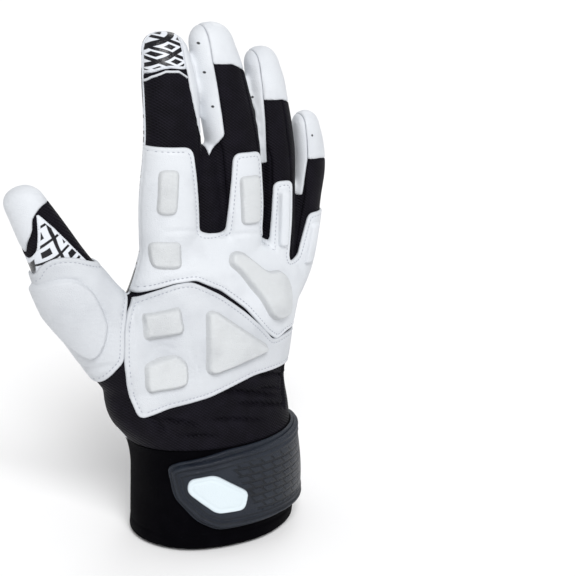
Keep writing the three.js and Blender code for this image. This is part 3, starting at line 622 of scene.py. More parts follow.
def folded(x, z, folds):
    """Sum over the folds of -depth (1 - swell q) exp(-q) times a fade towards the ends. q is the square
    of the distance in widths from a line that wanders a little, so a fold dips on the line and swells
    beside it."""
    total = np.zeros(len(x))
    for ax, az, bx, bz, width, depth in folds:
        dx, dz = bx - ax, bz - az
        along = ((x - ax) * dx + (z - az) * dz) / (dx * dx + dz * dz)
        away = ((x - ax) * dz - (z - az) * dx) / math.hypot(dx, dz)
        q = ((away + fold_wander * np.sin(2.5 * along)) / width) ** 2
        fade = np.clip(1 - (2 * np.abs(along - 0.5)) ** 4, 0, 1)
        total -= depth * (1 - fold_swell * q) * np.exp(-q) * fade
    return total


def rippled(x, y, z, size, height):
    """Slow waves with no direction: the mean of four sines, each along an axis turned from the one before
    and a little shorter and later than it."""
    waves, first_turn, next_turn, shorter, later, depth_share = 4, 1.1, 2.4, 0.45, 1.7, 0.7
    total = np.zeros(len(x))
    for k in range(waves):
        turn = first_turn + next_turn * k
        reach = size / (1 + shorter * k)
        along = x * math.cos(turn) + z * math.sin(turn) + depth_share * y
        total += np.sin(along / reach + later * k)
    return height * total / waves


# %% [markdown]
# The bottom layer is 1.3 mm thick: knitted cloth bonded to a thin lining. The seams between its pieces
# show as grooves, because the edge of each piece rolls down into the seam.

# %% Cut the bottom layer
cloth_wall = 1.3
seam_roll = 0.9
seam_dip = 0.55
cloth_ripple = (7.0, 0.12)
inner_share = 0.5
cloth_of = {
    "index_tip_wrap": "grip_print", "thumb_print_panel": "grip_print", "palm_panel": "grip_print",
    "back_mesh": "mesh_cloth", "index_middle_gusset": "mesh_cloth", "middle_ring_gusset": "mesh_cloth",
    "ring_pinky_gusset": "mesh_cloth",
}
folds_of = {"back_mesh": mesh_folds, "palm_panel": palm_folds}


def cut_bottom_piece(name, field):
    """One area of the skin as a shell: folds and ripples lift its outside, half as much its inside, and
    its edges dip into the seams."""
    triangles, points, edge, normals = clip(skin_points, skin_triangles, field, skin_normals)
    edge = -edge
    x, y, z = points.T
    lift = folded(x, z, folds_of.get(name, [])) * np.clip(edge / 2, 0, 1)
    lift += rippled(x, y, z, *cloth_ripple) - seam_dip * (1 - rolled(edge, seam_roll))
    piece = shell(name, points, triangles, normals, edge, lift, -cloth_wall + lift * inner_share)
    stands_in(piece, name)
    return len(triangles)


counts = {name: cut_bottom_piece(name, field) for name, field in bottom_fields.items()}
print("outer triangles:", counts)

# %% [markdown]
# Three leather panels lie on the mesh: one over the knuckles with a tab up each finger, one over the back
# of the hand, and one round the base of the thumb. They are cut from the same skin, lifted by their own
# thickness, with a rolled edge and a shallow groove where the stitches pull the leather down.

# %% Cut the leather panels
panel_bottom = 0.25
panel_top = 1.45
edge_roll = 1.0
# the share of the leather's thickness that is left at its skived edge
edge_share = 0.35
stitch_inset = 2.0
stitch_groove = 0.28
groove_width = 0.7
leather_ripple = (9.0, 0.1)
panel_corner = 2
blend_reach = 3.0
panel_margin = 30

# the finger, and its tab's corners: left and right in half widths, foot and top in lengths
tab_rows = [
    ("index", dict(low_left=-1.5, left=-1.5, low_right=0.78, right=0.36, foot=-0.1, top=0.46)),
    ("middle", dict(low_left=-0.87, left=-0.41, low_right=0.78, right=0.74, foot=-0.1, top=0.42)),
    ("ring", dict(low_left=-0.68, left=-0.68, low_right=0.3, right=0.3, foot=-0.1, top=0.35)),
    ("pinky", dict(low_left=-0.4, left=-0.36, low_right=1.5, right=1.5, foot=-0.3, top=0.33)),
]
# y at which each panel ends towards the palm, and how far leather is stretched past its cutting line
panel_reach = {"knuckle_panel": -0.3, "hand_back_panel": -0.3, "thumb_base_panel": 3.4}
thumb_stretch = 0.45
back_stretch = 0.28
knuckle_area = [on_hand(*p) for p in [
    (-0.92, 0.735), (-0.905, 1.1), (-0.18, 1.02), (0.03, 1.02), (0.4, 1.02), (0.5, 0.985),
    (0.6, 0.92), (0.83, 0.83), (1.3, 0.86), (1.3, 0.49), (0.71, 0.49), (0.56, 0.465),
    (0.42, 0.515), (0.15, 0.66), (-0.1, 0.757), (-0.255, 0.792), (-0.35, 0.815), (-0.56, 0.803),
    (-0.77, 0.767)]]
hand_back_area = [on_hand(*p) for p in [
    (-0.96, 0.17), (-1.05, 0.33), (-1.075, 0.45), (-1.062, 0.6), (-1.01, 0.683), (-0.76, 0.758),
    (-0.56, 0.797), (-0.4, 0.809), (-0.27, 0.778), (-0.1, 0.732), (0.15, 0.64), (0.37, 0.542),
    (0.51, 0.466), (0.7, 0.475), (1.3, 0.475), (1.3, 0.31), (0.61, 0.315), (0.27, 0.317),
    (0.1, 0.298), (-0.27, 0.248), (-0.69, 0.219)]]
thumb_area = [
    *[on_hand(*p) for p in [(-1.5, 0.2), (-2.3, 0.7)]],
    *[on("thumb", *p) for p in [
        (-1.084, 0.435), (-0.739, 0.522), (-0.167, 0.553), (0.449, 0.547), (0.986, 0.513)]],
    *[on_hand(*p) for p in [
        (-0.935, 0.85), (-0.935, 0.76), (-1.024, 0.7), (-1.073, 0.6), (-1.086, 0.455), (-1.15, 0.415),
        (-1.28, 0.315)]]]


def tab_outline(name, k):
    """The rounded outline of one tab of the knuckle panel."""
    corners = [on(name, k["low_left"], k["foot"]), on(name, k["left"], k["top"]),
               on(name, k["right"], k["top"]), on(name, k["low_right"], 0.15),
               on(name, k["low_right"], k["foot"])]
    return rounded(corners, fingers[name][3] / 6)


def soft_least(a, b, reach):
    """The smaller of two distances, blended where they are closer than reach, which fillets the inner
    corners where two outlines meet."""
    h = np.clip(0.5 + 0.5 * (b - a) / reach, 0, 1)
    return b + (a - b) * h - reach * h * (1 - h)


def knuckle_distance(x, z):
    """Distance to the knuckle panel: the least of its body's and its tabs' distances, blended."""
    total = outline_distance(rounded(knuckle_area, panel_corner), x, z, panel_margin)
    for name, k in tab_rows:
        tab = outline_distance(tab_outline(name, k), x, z, panel_margin)
        total = soft_least(total, tab, blend_reach)
    return total


def hand_back_distance(x, z):
    """Distance to the panel on the back of the hand, stretched past its cutting line."""
    return outline_distance(rounded(hand_back_area, wide_corner), x, z, panel_margin) - back_stretch


def thumb_distance(x, z):
    """Distance to the panel round the base of the thumb, stretched past its cutting line."""
    return outline_distance(rounded(thumb_area, wide_corner), x, z, panel_margin) - thumb_stretch


panel_shapes = {"knuckle_panel": knuckle_distance, "hand_back_panel": hand_back_distance,
                "thumb_base_panel": thumb_distance}


def cut_panel(name, shape):
    """One panel as a shell on the cloth: its thickness rolls off at the edge and dips in a bell-shaped
    groove along the stitches."""
    x, y, z = skin_points.T
    field = np.maximum(shape(x, z), y - panel_reach[name])
    triangles, points, edge, normals = clip(skin_points, skin_triangles, field, skin_normals)
    triangles, points, edge, normals = refined(points, triangles, edge, normals)
    x, y, z = points.T
    edge = -edge
    wave = folded(x, z, leather_folds) * np.clip(edge / 3, 0, 1) + rippled(x, y, z, *leather_ripple)
    groove = stitch_groove * np.exp(-((edge - stitch_inset) / groove_width) ** 2)
    roll = edge_share + (1 - edge_share) * rolled(edge, edge_roll)
    outer = panel_bottom + (panel_top - panel_bottom) * roll - groove
    inner = panel_bottom + inner_share * wave
    piece = shell(name, points, triangles, normals, edge, outer + wave, inner)
    stands_in(piece, name)
    return len(triangles)


print("outer triangles:", {name: cut_panel(name, shape) for name, shape in panel_shapes.items()})

# %% [markdown]
# Foam pads lie on the back. Each is pressed into the leather, so it rises from the panel with a small
# fillet, has a firm wall, a rounded shoulder and a top that is a little crowned. All of that is one
# profile of the distance from the pad's outline, applied to a finely divided patch of the skin.

# %% Press the foam pads
pad_bottom = 1.34
pad_root = 0.4
finger_pad_rise = 2.0
hand_pad_rise = 3.3
thumb_pad_rise = 2.7
pad_wall = 2.3
pad_crown = 0.5
crown_reach = 5
# how far the foam of the thumb's pad reaches round its side, and how often the skin is averaged, which
# is how foam evens out a hollow
thumb_pad_reach = 2.4
foam_rounds = 12
# name, finger, left, right, low, high
finger_pads = [
    ("index_finger_pad", "index", -0.76, -0.08, 0.13, 0.36),
    ("index_knuckle_pad", "index", -0.92, 0.05, -0.14, 0.01),
    ("middle_finger_pad", "middle", -0.34, 0.58, 0.08, 0.32),
    ("ring_finger_pad", "ring", -0.5, 0.16, 0.0, 0.31),
    ("pinky_finger_pad", "pinky", -0.18, 0.6, -0.03, 0.27),
]
# name, rise, radius of the corners, corners
hand_pads = [
    ("knuckle_chevron_pad", hand_pad_rise, 3, [
        (-0.01, 0.87), (0.02, 0.93), (0.17, 0.93), (0.47, 0.812), (0.61, 0.812), (0.71, 0.78),
        (0.76, 0.72), (0.745, 0.577), (0.56, 0.559), (0.44, 0.59), (0.3, 0.7), (0.1, 0.827)]),
    ("upper_hand_pad", hand_pad_rise, 3, [
        (-0.905, 0.56), (-0.87, 0.66), (-0.52, 0.705), (-0.49, 0.57), (-0.86, 0.535)]),
    ("lower_hand_pad", hand_pad_rise, 3, [
        (-0.91, 0.325), (-0.915, 0.44), (-0.585, 0.482), (-0.47, 0.425), (-0.48, 0.325),
        (-0.55, 0.305), (-0.86, 0.287)]),
    ("hand_triangle_pad", hand_pad_rise, 3, [
        (-0.31, 0.37), (-0.3, 0.67), (-0.19, 0.675), (0.43, 0.455), (0.42, 0.42), (-0.23, 0.347)]),
    ("thumb_base_pad", thumb_pad_rise, 4, [
        (-1.36, 0.455), (-1.53, 0.53), (-1.72, 0.68), (-1.81, 0.8), (-1.67, 0.862), (-1.5, 0.86),
        (-1.35, 0.81), (-1.25, 0.71), (-1.2, 0.63), (-1.22, 0.545), (-1.27, 0.47)]),
]


def pad_profile(distance, rise):
    """Rise times a smooth step over the wall's width, plus a crown that grows slowly towards the
    middle: one minus a falling exponential."""
    u = np.clip(distance / pad_wall, 0, 1)
    wall = u * u * u * (u * (6 * u - 15) + 10)
    crown = 1 - np.exp(-np.maximum(distance - pad_wall, 0) / crown_reach)
    return rise * wall + pad_crown * crown


def near_patch(line, margin=5, reach=0):
    """The triangles of the skin's back that lie within a margin of an outline's box, up to y = reach."""
    low, high = line.min(0) - margin, line.max(0) + margin
    x, y, z = skin_points.T
    near = (x > low[0]) & (x < high[0]) & (z > low[1]) & (z < high[1]) & (y < reach)
    triangles = skin_triangles[near[skin_triangles].all(1)]
    used, renamed = np.unique(triangles, return_inverse=True)
    return renamed.reshape(-1, 3), skin_points[used], skin_normals[used]


def press_pad(name, line, rise):
    """One pad as a shell: an averaged and refined patch of skin, cut to the outline and raised by the
    profile."""
    reach = thumb_pad_reach if name == "thumb_base_pad" else 0
    triangles, points, normals = near_patch(line, reach=reach + 2)
    points = averaged(points, triangles, foam_rounds)
    normals = normals_of(points, triangles)
    triangles, points, normals = refined(points, triangles, normals)
    distance = outline_distance(line, points[:, 0], points[:, 2])
    distance = np.maximum(distance, points[:, 1] - reach)
    triangles, points, distance, normals = clip(points, triangles, distance, normals)
    distance = -distance
    outer = pad_bottom + pad_profile(distance, rise)
    piece = shell(name, points, triangles, normals, distance, outer, pad_root)
    stands_in(piece, name)
    return len(triangles)


pad_lines = {}
for name, finger, left, right, low, high in finger_pads:
    corners = [on(finger, *p) for p in [(left, low), (left, high), (right, high), (right, low)]]
    pad_lines[name] = (rounded(corners, fingers[finger][3] / 7), finger_pad_rise)
for name, rise, radius, shares in hand_pads:
    pad_lines[name] = (rounded([on_hand(*p) for p in shares], radius), rise)
print("pads:", {name: press_pad(name, line, rise) for name, (line, rise) in pad_lines.items()})

# %% [markdown]
# A thin leather piping covers the seam below the index fingertip. It is cut like the panels, as a narrow
# band that follows a curve across the finger.

# %% Piping of the index fingertip
piping_line = [on("index", *p) for p in [
    (-1.3, 0.73), (-0.86, 0.79), (-0.4, 0.818), (0.1, 0.818), (0.42, 0.79)]]
piping_width = 1.1
piping_rise = 0.7
piping_edge = 0.2
piping_bottom = 0.05


def make_piping():
    """A narrow band of finely divided skin, raised by a quarter circle from both of its sides."""
    lower = [(x, z - piping_width) for x, z in piping_line][::-1]
    line = rounded(piping_line + lower, 0.5)
    triangles, points, normals = near_patch(line, 3)
    for _ in range(2):
        triangles, points, normals = refined(points, triangles, normals)
    distance = outline_distance(line, points[:, 0], points[:, 2])
    triangles, points, distance, normals = clip(points, triangles, distance, normals)
    outer = piping_edge + piping_rise * rolled(-distance, piping_width / 2)
    piece = shell("index_tip_piping", points, triangles, normals, -distance, outer, piping_bottom)
    stands_in(piece, "index_tip_piping")
    return len(triangles)


print("piping triangles:", make_piping())

# %% [markdown]
# The cuff is a knitted neoprene tube. Seen from the side its profile runs up the outside, over the rolled
# hem at the bottom and back up the inside. That closed profile is carried round an oval ring, so the
# whole cuff is one grid of angle by profile.

# %% Knit the cuff
cuff_wall = 2.6
cuff_columns = 260
outer_rows = 70
inner_rows = 30
hem_seam = 6.5
hem_seam_width = 0.8
hem_seam_depth = 0.35
cuff_bulge = 0.5
cuff_wave = 0.35
# the mean radius of the cuff, which turns an angle into a length for the knit's pattern
cuff_radius = 37
cuff_table = smooth_table(hand_table(), 400)


def around_cuff(angle, z, out):
    """A point at an angle from +x towards the palm, at height z, moved out along the oval's normal. The
    oval comes from the same smooth table as the hand. Its normal is a superellipse too: that of the
    inverse half axes with the rest of the power."""
    left, right, deep = [np.interp(z, cuff_table[:, 0], cuff_table[:, k]) for k in (1, 2, 3)]
    half, middle = (left + right) / 2, (right - left) / 2
    x, y = superellipse(angle, half, deep, cuff_square)
    c, s = np.cos(angle), np.sin(angle)
    rest = 2 - 2 / cuff_square
    nx, ny = np.sign(c) * np.abs(c) ** rest / half, np.sign(s) * np.abs(s) ** rest / deep
    length = np.hypot(nx, ny)
    return np.stack([middle + x + out * nx / length, y + out * ny / length, z + 0 * x], -1)


def make_cuff():
    """The grid of angle by profile. Its outside bulges in three slow waves, is a little uneven, and has a
    bell-shaped groove along the hem's seam."""
    hem = np.linspace(0, np.pi, 11)[1:-1]
    half_wall = cuff_wall / 2
    outside = np.linspace(cuff_height, half_wall, outer_rows)
    inside = np.linspace(half_wall, cuff_height, inner_rows)
    z = np.concatenate([outside, half_wall * (1 - np.sin(hem)), inside])
    out = np.concatenate([np.zeros(outer_rows), -half_wall * (1 - np.cos(hem)),
                          np.full(inner_rows, -cuff_wall)])
    angle = np.linspace(0, 2 * np.pi, cuff_columns, endpoint=False)
    grid_z, grid_angle = np.meshgrid(z, angle, indexing="ij")
    grid_out = np.repeat(out[:, None], cuff_columns, 1)
    front = np.clip(1 + grid_out / cuff_wall, 0, 1)
    seam = hem_seam_depth * np.exp(-((grid_z - hem_seam) / hem_seam_width) ** 2)
    middle = np.sin(np.pi * np.clip(grid_z / cuff_height, 0, 1))
    bulge = cuff_bulge * middle * np.cos(3 * grid_angle + 0.6)
    wave = cuff_wave * np.sin(5 * grid_angle + grid_z / 7) * np.sin(2 * grid_angle - grid_z / 11)
    moved = grid_out + (bulge + wave - seam) * front
    points = around_cuff(grid_angle.ravel(), grid_z.ravel(), moved.ravel())
    points[:, 2] = np.clip(points[:, 2], 0, cuff_height)
    faces = grid_faces(len(z), cuff_columns)[:, ::-1]
    top = np.arange(cuff_columns)
    bottom = (len(z) - 1) * cuff_columns + top
    rim = np.stack([bottom, np.roll(bottom, -1), np.roll(top, -1), top], -1)[:, ::-1]
    faces = np.concatenate([faces, rim])
    lay = np.stack([grid_angle.ravel() * cuff_radius, grid_out.ravel(), grid_z.ravel()], -1)
    piece = object_from("cuff", points, faces, lay, grid_z.ravel())
    stands_in(piece, "cuff")
    return len(faces) * 2


print("cuff triangles:", make_cuff())

# %% [markdown]
# The strap is a moulded rubber cover on a thin base flap. It is drawn flat, as a length round the cuff by
# a height, and then wrapped round the oval. Its free end is rounded, a double rim follows its edge, and
# the far half of the cover carries a low pattern of small staggered blocks, which the material raises.

# %% Wrap the strap round the cuff
strap_step = 0.45
strap_height = 28.0
# x past which a corner of the outline means the strap's end, and the cover's inset on the base
beyond_cuff = 60
cover_inset = 2
# x and z of the corners: in half palm widths and palm lengths
strap_edge = [(-0.66, -0.23), (-0.7, -0.08), (-0.6, -0.05), (-0.1, 0.0), (1.5, 0.015), (1.5, -0.4),
              (0.3, -0.41), (-0.28, -0.41), (-0.48, -0.355)]
badge_edge = [(-0.55, -0.19), (-0.53, -0.125), (-0.3, -0.105), (0.03, -0.22), (-0.02, -0.31),
              (-0.3, -0.31)]
# how far the base, the cover and the badge start from the cuff's oval
strap_clear = 0.75
cover_bottom = strap_clear + 1.5
badge_bottom = cover_bottom + 1.3


def cuff_length_table():
    """Length round the back of the cuff against angle and x, measured on the oval at the strap's height."""
    angle = np.linspace(-np.pi, 0.25, 900)
    ring = around_cuff(angle, np.full(len(angle), strap_height), np.zeros(len(angle)))
    length = np.concatenate([[0], np.cumsum(np.linalg.norm(np.diff(ring, axis=0), axis=1))])
    length -= np.interp(-np.pi / 2, angle, length)
    return angle, length, ring


ring_angle, ring_length, ring_place = cuff_length_table()
little_side = slice(600, None)
strap_end_angle = float(np.interp(side_front, ring_place[little_side, 1], ring_angle[little_side]))
strap_end = float(np.interp(strap_end_angle, ring_angle, ring_length))


def wrapped(corners, grow):
    """Corners given by x on the back of the cuff, turned into lengths round it, moved away from their
    centre by grow, and cut at the strap's end."""
    back = slice(0, int(np.searchsorted(ring_angle, 0)))
    x = np.array([p[0] for p in corners])
    z = np.array([p[1] for p in corners])
    s = np.where(x > beyond_cuff, strap_end, np.interp(x, ring_place[back, 0], ring_length[back]))
    centre = np.array([s.mean(), z.mean()])
    line = np.stack([s, z], -1)
    reach = np.linalg.norm(line - centre, axis=1, keepdims=True)
    moved = line + (line - centre) / reach * grow
    moved[:, 0] = np.minimum(moved[:, 0], strap_end)
    return moved


def strap_piece(name, line, bottom, profile):
    """A flat grid cut to the outline, wrapped round the oval at a distance from it: the bottom inside,
    and the bottom plus a profile of the distance from the edge outside."""
    low, high = line.min(0) - 1, line.max(0) + 1
    s = np.arange(low[0], high[0], strap_step)
    z = np.arange(low[1], high[1], strap_step)
    grid_z, grid_s = np.meshgrid(z, s, indexing="ij")
    triangles = halved(grid_faces(len(z), len(s), closed=False))
    flat = np.stack([grid_s.ravel(), np.zeros(grid_s.size), grid_z.ravel()], -1)
    distance = outline_distance(line, flat[:, 0], flat[:, 2])
    triangles, flat, distance = clip(flat, triangles, distance)
    distance = -distance
    angle = np.interp(flat[:, 0], ring_length, ring_angle)
    outer = around_cuff(angle, flat[:, 2], bottom + profile(distance))
    inner = around_cuff(angle, flat[:, 2], np.full(len(angle), bottom))
    height = np.linalg.norm(outer - inner, axis=1)
    normal = (outer - inner) / np.maximum(height, 1e-9)[:, None]
    piece = shell(name, inner, triangles, normal, distance, height, np.zeros(len(height)))
    measure = piece.data.attributes["lay"]
    measure.data.foreach_set("vector", (np.tile(flat, (2, 1)) * MM).ravel())
    stands_in(piece, name)
    return len(triangles)


def bell(distance, middle, width, power=2):
    """1 in the middle, falling off with the distance from it in widths; a higher power has a flatter top."""
    return np.exp(-((distance - middle) / width) ** power)


def base_profile(distance):
    """A rolled edge with one sewn groove."""
    return 0.3 + 1.1 * rolled(distance, 1.1) - 0.3 * bell(distance, 1.4, 0.45)


def cover_profile(distance):
    """A rolled edge with two raised rims, the outer one wider and higher."""
    rim = 0.75 * bell(distance, 1.2, 0.8, 4) + 0.45 * bell(distance, 4.1, 0.6, 4)
    return 0.25 + 1.0 * rolled(distance, 0.8) + rim


def badge_profile(distance):
    """A rolled edge with one groove."""
    return 0.15 + 0.6 * rolled(distance, 0.5) - 0.25 * bell(distance, 2.2, 0.5)


strap_line = [on_hand(*p) for p in strap_edge]
badge_line = [on_hand(*p) for p in badge_edge]
base_outline = rounded(wrapped(strap_line, 0), 4)
cover_outline = rounded(wrapped(strap_line, -cover_inset), 3.5)
badge_outline = rounded(wrapped(badge_line, 0), 3)
print("strap triangles:",
      strap_piece("strap_base", base_outline, strap_clear, base_profile),
      strap_piece("strap_cover", cover_outline, cover_bottom, cover_profile),
      strap_piece("strap_badge", badge_outline, badge_bottom, badge_profile))

# %% [markdown]
# Stitches are thread, so they are geometry: one small rounded bead per stitch, set in rows a fixed
# distance inside each seam. A row is found by walking the outline moved inwards, and each bead sits on
# the skin at that place and points along the row.

# %% Sew the stitch rows
stitch_length = 1.15
stitch_pitch = 1.8
stitch_thick = 0.4
stitch_height = panel_top - stitch_groove + 0.02
# skin whose normal's y is below this faces the back, and a stitch lies within this reach of its points
back_facing = -0.3
skin_reach = 1.5
bead_sides = 6
# a row for each ring of a stitch: its place along the stitch, and its height on a ball
bead_rows = np.array([(-1, 0.97), (-0.75, 0.6), (0, 0), (0.75, 0.6), (1, 0.97)])


def bead_shape():
    """One stitch: a six-sided spindle of five rings, whose radius is the root of one minus the square of
    the ring's height on a ball."""
    along, height = bead_rows.T
    radius = np.sqrt(1 - height ** 2)
    angle = 2 * np.pi * np.arange(bead_sides) / bead_sides
    points = np.stack([
        np.repeat(along * stitch_length / 2, bead_sides),
        (radius[:, None] * np.cos(angle)).ravel() * stitch_thick / 2,
        (radius[:, None] * np.sin(angle)).ravel() * stitch_thick / 2], -1)
    return points, halved(grid_faces(len(bead_rows), bead_sides))


def skin_at(x, z):
    """Depth and normal of the skin's back at given places: the nearest point of the skin and its plane.
    The depth is not a number where the nearest point is too far away."""
    back = (skin_normals[:, 1] < back_facing) & (skin_points[:, 2] > cuff_height)
    points, normals = skin_points[back], skin_normals[back]
    nearest = np.empty(len(x), int)
    chunk = 200
    for start in range(0, len(x), chunk):
        part = slice(start, start + chunk)
        away = (points[None, :, 0] - x[part, None]) ** 2 + (points[None, :, 2] - z[part, None]) ** 2
        nearest[part] = away.argmin(1)
    p, n = points[nearest], normals[nearest]
    y = p[:, 1] - (n[:, 0] * (x - p[:, 0]) + n[:, 2] * (z - p[:, 2])) / n[:, 1]
    off = np.hypot(x - p[:, 0], z - p[:, 2])
    return np.where(off < skin_reach, y, np.nan), n


def inset_rows(distance_of, low, high, inset, step=0.5):
    """Places where a distance field equals minus the inset, found along the edges of a fine grid."""
    gx, gz = np.meshgrid(np.arange(low[0], high[0], step), np.arange(low[1], high[1], step),
                         indexing="ij")
    f = (distance_of(gx.ravel(), gz.ravel()) + inset).reshape(gx.shape)
    hit_x = (f[:-1] < 0) != (f[1:] < 0)
    share = f[:-1][hit_x] / (f[:-1][hit_x] - f[1:][hit_x])
    found = [np.stack([gx[:-1][hit_x] + step * share, gz[:-1][hit_x]], -1)]
    hit_z = (f[:, :-1] < 0) != (f[:, 1:] < 0)
    share = f[:, :-1][hit_z] / (f[:, :-1][hit_z] - f[:, 1:][hit_z])
    found.append(np.stack([gx[:, :-1][hit_z], gz[:, :-1][hit_z] + step * share], -1))
    return np.concatenate(found)


def spaced(points, pitch):
    """A walk over the points of a thin curve: from each stitch to the point whose distance is nearest to
    the pitch, going on in the same direction. Returns the places and directions of the stitches."""
    used, farthest, least_ahead = 0.6, 1.6, 0.3
    left = np.ones(len(points), bool)
    rows = []
    while left.any():
        at = points[np.argmax(left)]
        heading = None
        row = []
        while True:
            away = points - at
            reach = np.linalg.norm(away, axis=1)
            left &= reach > pitch * used
            ahead = left & (reach < pitch * farthest)
            if heading is not None:
                ahead &= (away @ heading) > least_ahead * reach
            if not ahead.any():
                break
            pick = np.where(ahead, np.abs(reach - pitch), np.inf).argmin()
            heading = away[pick] / reach[pick]
            row.append((*(at + points[pick]) / 2, *heading))
            at = points[pick]
        rows += row
    return np.array(rows)


def sew(name, stitches):
    """Copies of one bead at all stitches, as a single mesh. Each lies along its row and on the skin."""
    x, z, hx, hz = stitches.T
    y, n = skin_at(x, z)
    good = ~np.isnan(y)
    x, z, hx, hz, y, n = x[good], z[good], hx[good], hz[good], y[good], n[good]
    base = np.stack([x, y, z], -1) + n * stitch_height
    along = np.stack([hx, -(n[:, 0] * hx + n[:, 2] * hz) / n[:, 1], hz], -1)
    along /= np.linalg.norm(along, axis=1, keepdims=True)
    across = np.cross(n, along)
    bead, faces = bead_shape()
    points = (base[:, None] + bead[None, :, :1] * along[:, None] + bead[None, :, 1:2] * across[:, None]
              + bead[None, :, 2:] * n[:, None]).reshape(-1, 3)
    faces = (faces[None] + np.arange(len(base))[:, None, None] * len(bead)).reshape(-1, 3)
    piece = object_from(name, points, faces, points, np.zeros(len(points)))
    pieces[name] = piece
    return len(base)


glove_low, glove_high = (-110, 45), (80, 250)
sewn = {}
for name, shape in panel_shapes.items():
    line = inset_rows(shape, glove_low, glove_high, stitch_inset)
    y, _ = skin_at(line[:, 0], line[:, 1])
    line = line[np.nan_to_num(y, nan=1.0) < -1]
    sewn[name] = sew(name.replace("_panel", "_stitches"), spaced(line, stitch_pitch))
print("stitches:", sewn)

# %% [markdown]
# Materials come next. Effects that several materials share are node groups: a fine grain, a diagonal
# knit and a print of diamond rings. A small helper places a node, sets its constant inputs and links the
# rest, and another fills in a Principled shader.

# %% Helpers for shader nodes


def feed(tree, node, inputs):
    """Each named input of a node is set to a value, or linked if the value is a socket."""
    for key, value in inputs.items():
        if isinstance(value, bpy.types.NodeSocket):
            tree.links.new(value, node.inputs[key])
        else:
            node.inputs[key].default_value = value


def place(tree, kind, inputs=None, **settings):
    """A new node of the given kind, with its settings and inputs."""
    node = tree.nodes.new(kind)
    for key, value in settings.items():
        setattr(node, key, value)
    feed(tree, node, inputs or {})
    return node


def maths(tree, operation, *values):
    """The result of a Math node."""
    return place(tree, "ShaderNodeMath", dict(enumerate(values)), operation=operation).outputs[0]


def ramp(tree, value, low, high, start=0.0, end=1.0):
    """The value mapped from low..high to start..end with a smooth step."""
    node = place(tree, "ShaderNodeMapRange", {0: value, 1: low, 2: high, 3: start, 4: end},
                 interpolation_type="SMOOTHSTEP")
    return node.outputs[0]


def mixed(tree, share, first, second):
    """Colour mix: the first where share is 0, the second where it is 1."""
    node = place(tree, "ShaderNodeMix", {0: share, 6: first, 7: second}, data_type="RGBA")
    return node.outputs[2]


def measures(tree):
    """The two measures stored on the points: the place in the flat layout and the distance from the edge."""
    lay = place(tree, "ShaderNodeAttribute", attribute_name="lay").outputs["Vector"]
    return lay, place(tree, "ShaderNodeAttribute", attribute_name="edge").outputs["Fac"]


def new_group(name, inputs, outputs):
    """A shader node group with named sockets. Returns the group, its input node and its output node."""
    group = bpy.data.node_groups.new(name, "ShaderNodeTree")
    kinds = {"Vector": "NodeSocketVector", "Color": "NodeSocketColor"}
    for side, names in (("INPUT", inputs), ("OUTPUT", outputs)):
        for socket in names:
            kind = kinds.get(socket, "NodeSocketFloat")
            group.interface.new_socket(name=socket, in_out=side, socket_type=kind)
    return group, group.nodes.new("NodeGroupInput"), group.nodes.new("NodeGroupOutput")


def use_group(tree, group, inputs):
    """The outputs of a node group placed in a material with its own values."""
    return place(tree, "ShaderNodeGroup", inputs, node_tree=group).outputs


def finish_material(name, look, **values):
    """A material whose Principled shader is filled in by look(tree, shader) with the finish's values."""
    material = bpy.data.materials.new(name)
    material.use_nodes = True
    tree = material.node_tree
    tree.nodes.clear()
    shader = place(tree, "ShaderNodeBsdfPrincipled")
    output = place(tree, "ShaderNodeOutputMaterial")
    tree.links.new(shader.outputs[0], output.inputs[0])
    look(tree, shader, **values)
    return material


def bumped(tree, shader, height, distance, strength=1.0):
    """Small relief: the height, in units of distance metres, tilts the shader's normal."""
    node = place(tree, "ShaderNodeBump", {"Height": height, "Distance": distance, "Strength": strength})
    tree.links.new(node.outputs[0], shader.inputs["Normal"])


# %% [markdown]
# Leather grain is a web of tiny creases: the distance to the borders of small random cells, blurred by a
# finer noise. The same group serves the panels, the pads and the rubber with other sizes.

# %% Node group: fine grain


def grain_group():
    """Height: a step of the distance to the cells' borders plus Roughen times a finer noise. Tone: a
    broad noise, for soiling."""
    group, given, made = new_group("fine grain", ["Vector", "Cells", "Roughen"], ["Height", "Tone"])
    vector, size = given.outputs["Vector"], given.outputs["Cells"]
    cells = place(group, "ShaderNodeTexVoronoi", {"Vector": vector, "Scale": size},
                  feature="DISTANCE_TO_EDGE")
    crease = ramp(group, cells.outputs["Distance"], 0.0, 0.22)
    fine = place(group, "ShaderNodeTexNoise", {
        "Vector": vector, "Scale": maths(group, "MULTIPLY", size, 2.3), "Detail": 3.0, "Roughness": 0.6})
    mix = maths(group, "MULTIPLY_ADD", fine.outputs[0], given.outputs["Roughen"], crease)
    broad = place(group, "ShaderNodeTexNoise", {"Vector": vector, "Scale": 55.0, "Detail": 3.0})
    group.links.new(mix, made.inputs["Height"])
    group.links.new(broad.outputs[0], made.inputs["Tone"])
    return group


# %% [markdown]
# The mesh is a warp knit whose loops stand in slanted rows. One strong sine wave runs across the rows, a
# weaker one along them parts the loops, and a slow noise makes the rows slightly uneven.

# %% Node group: diagonal knit


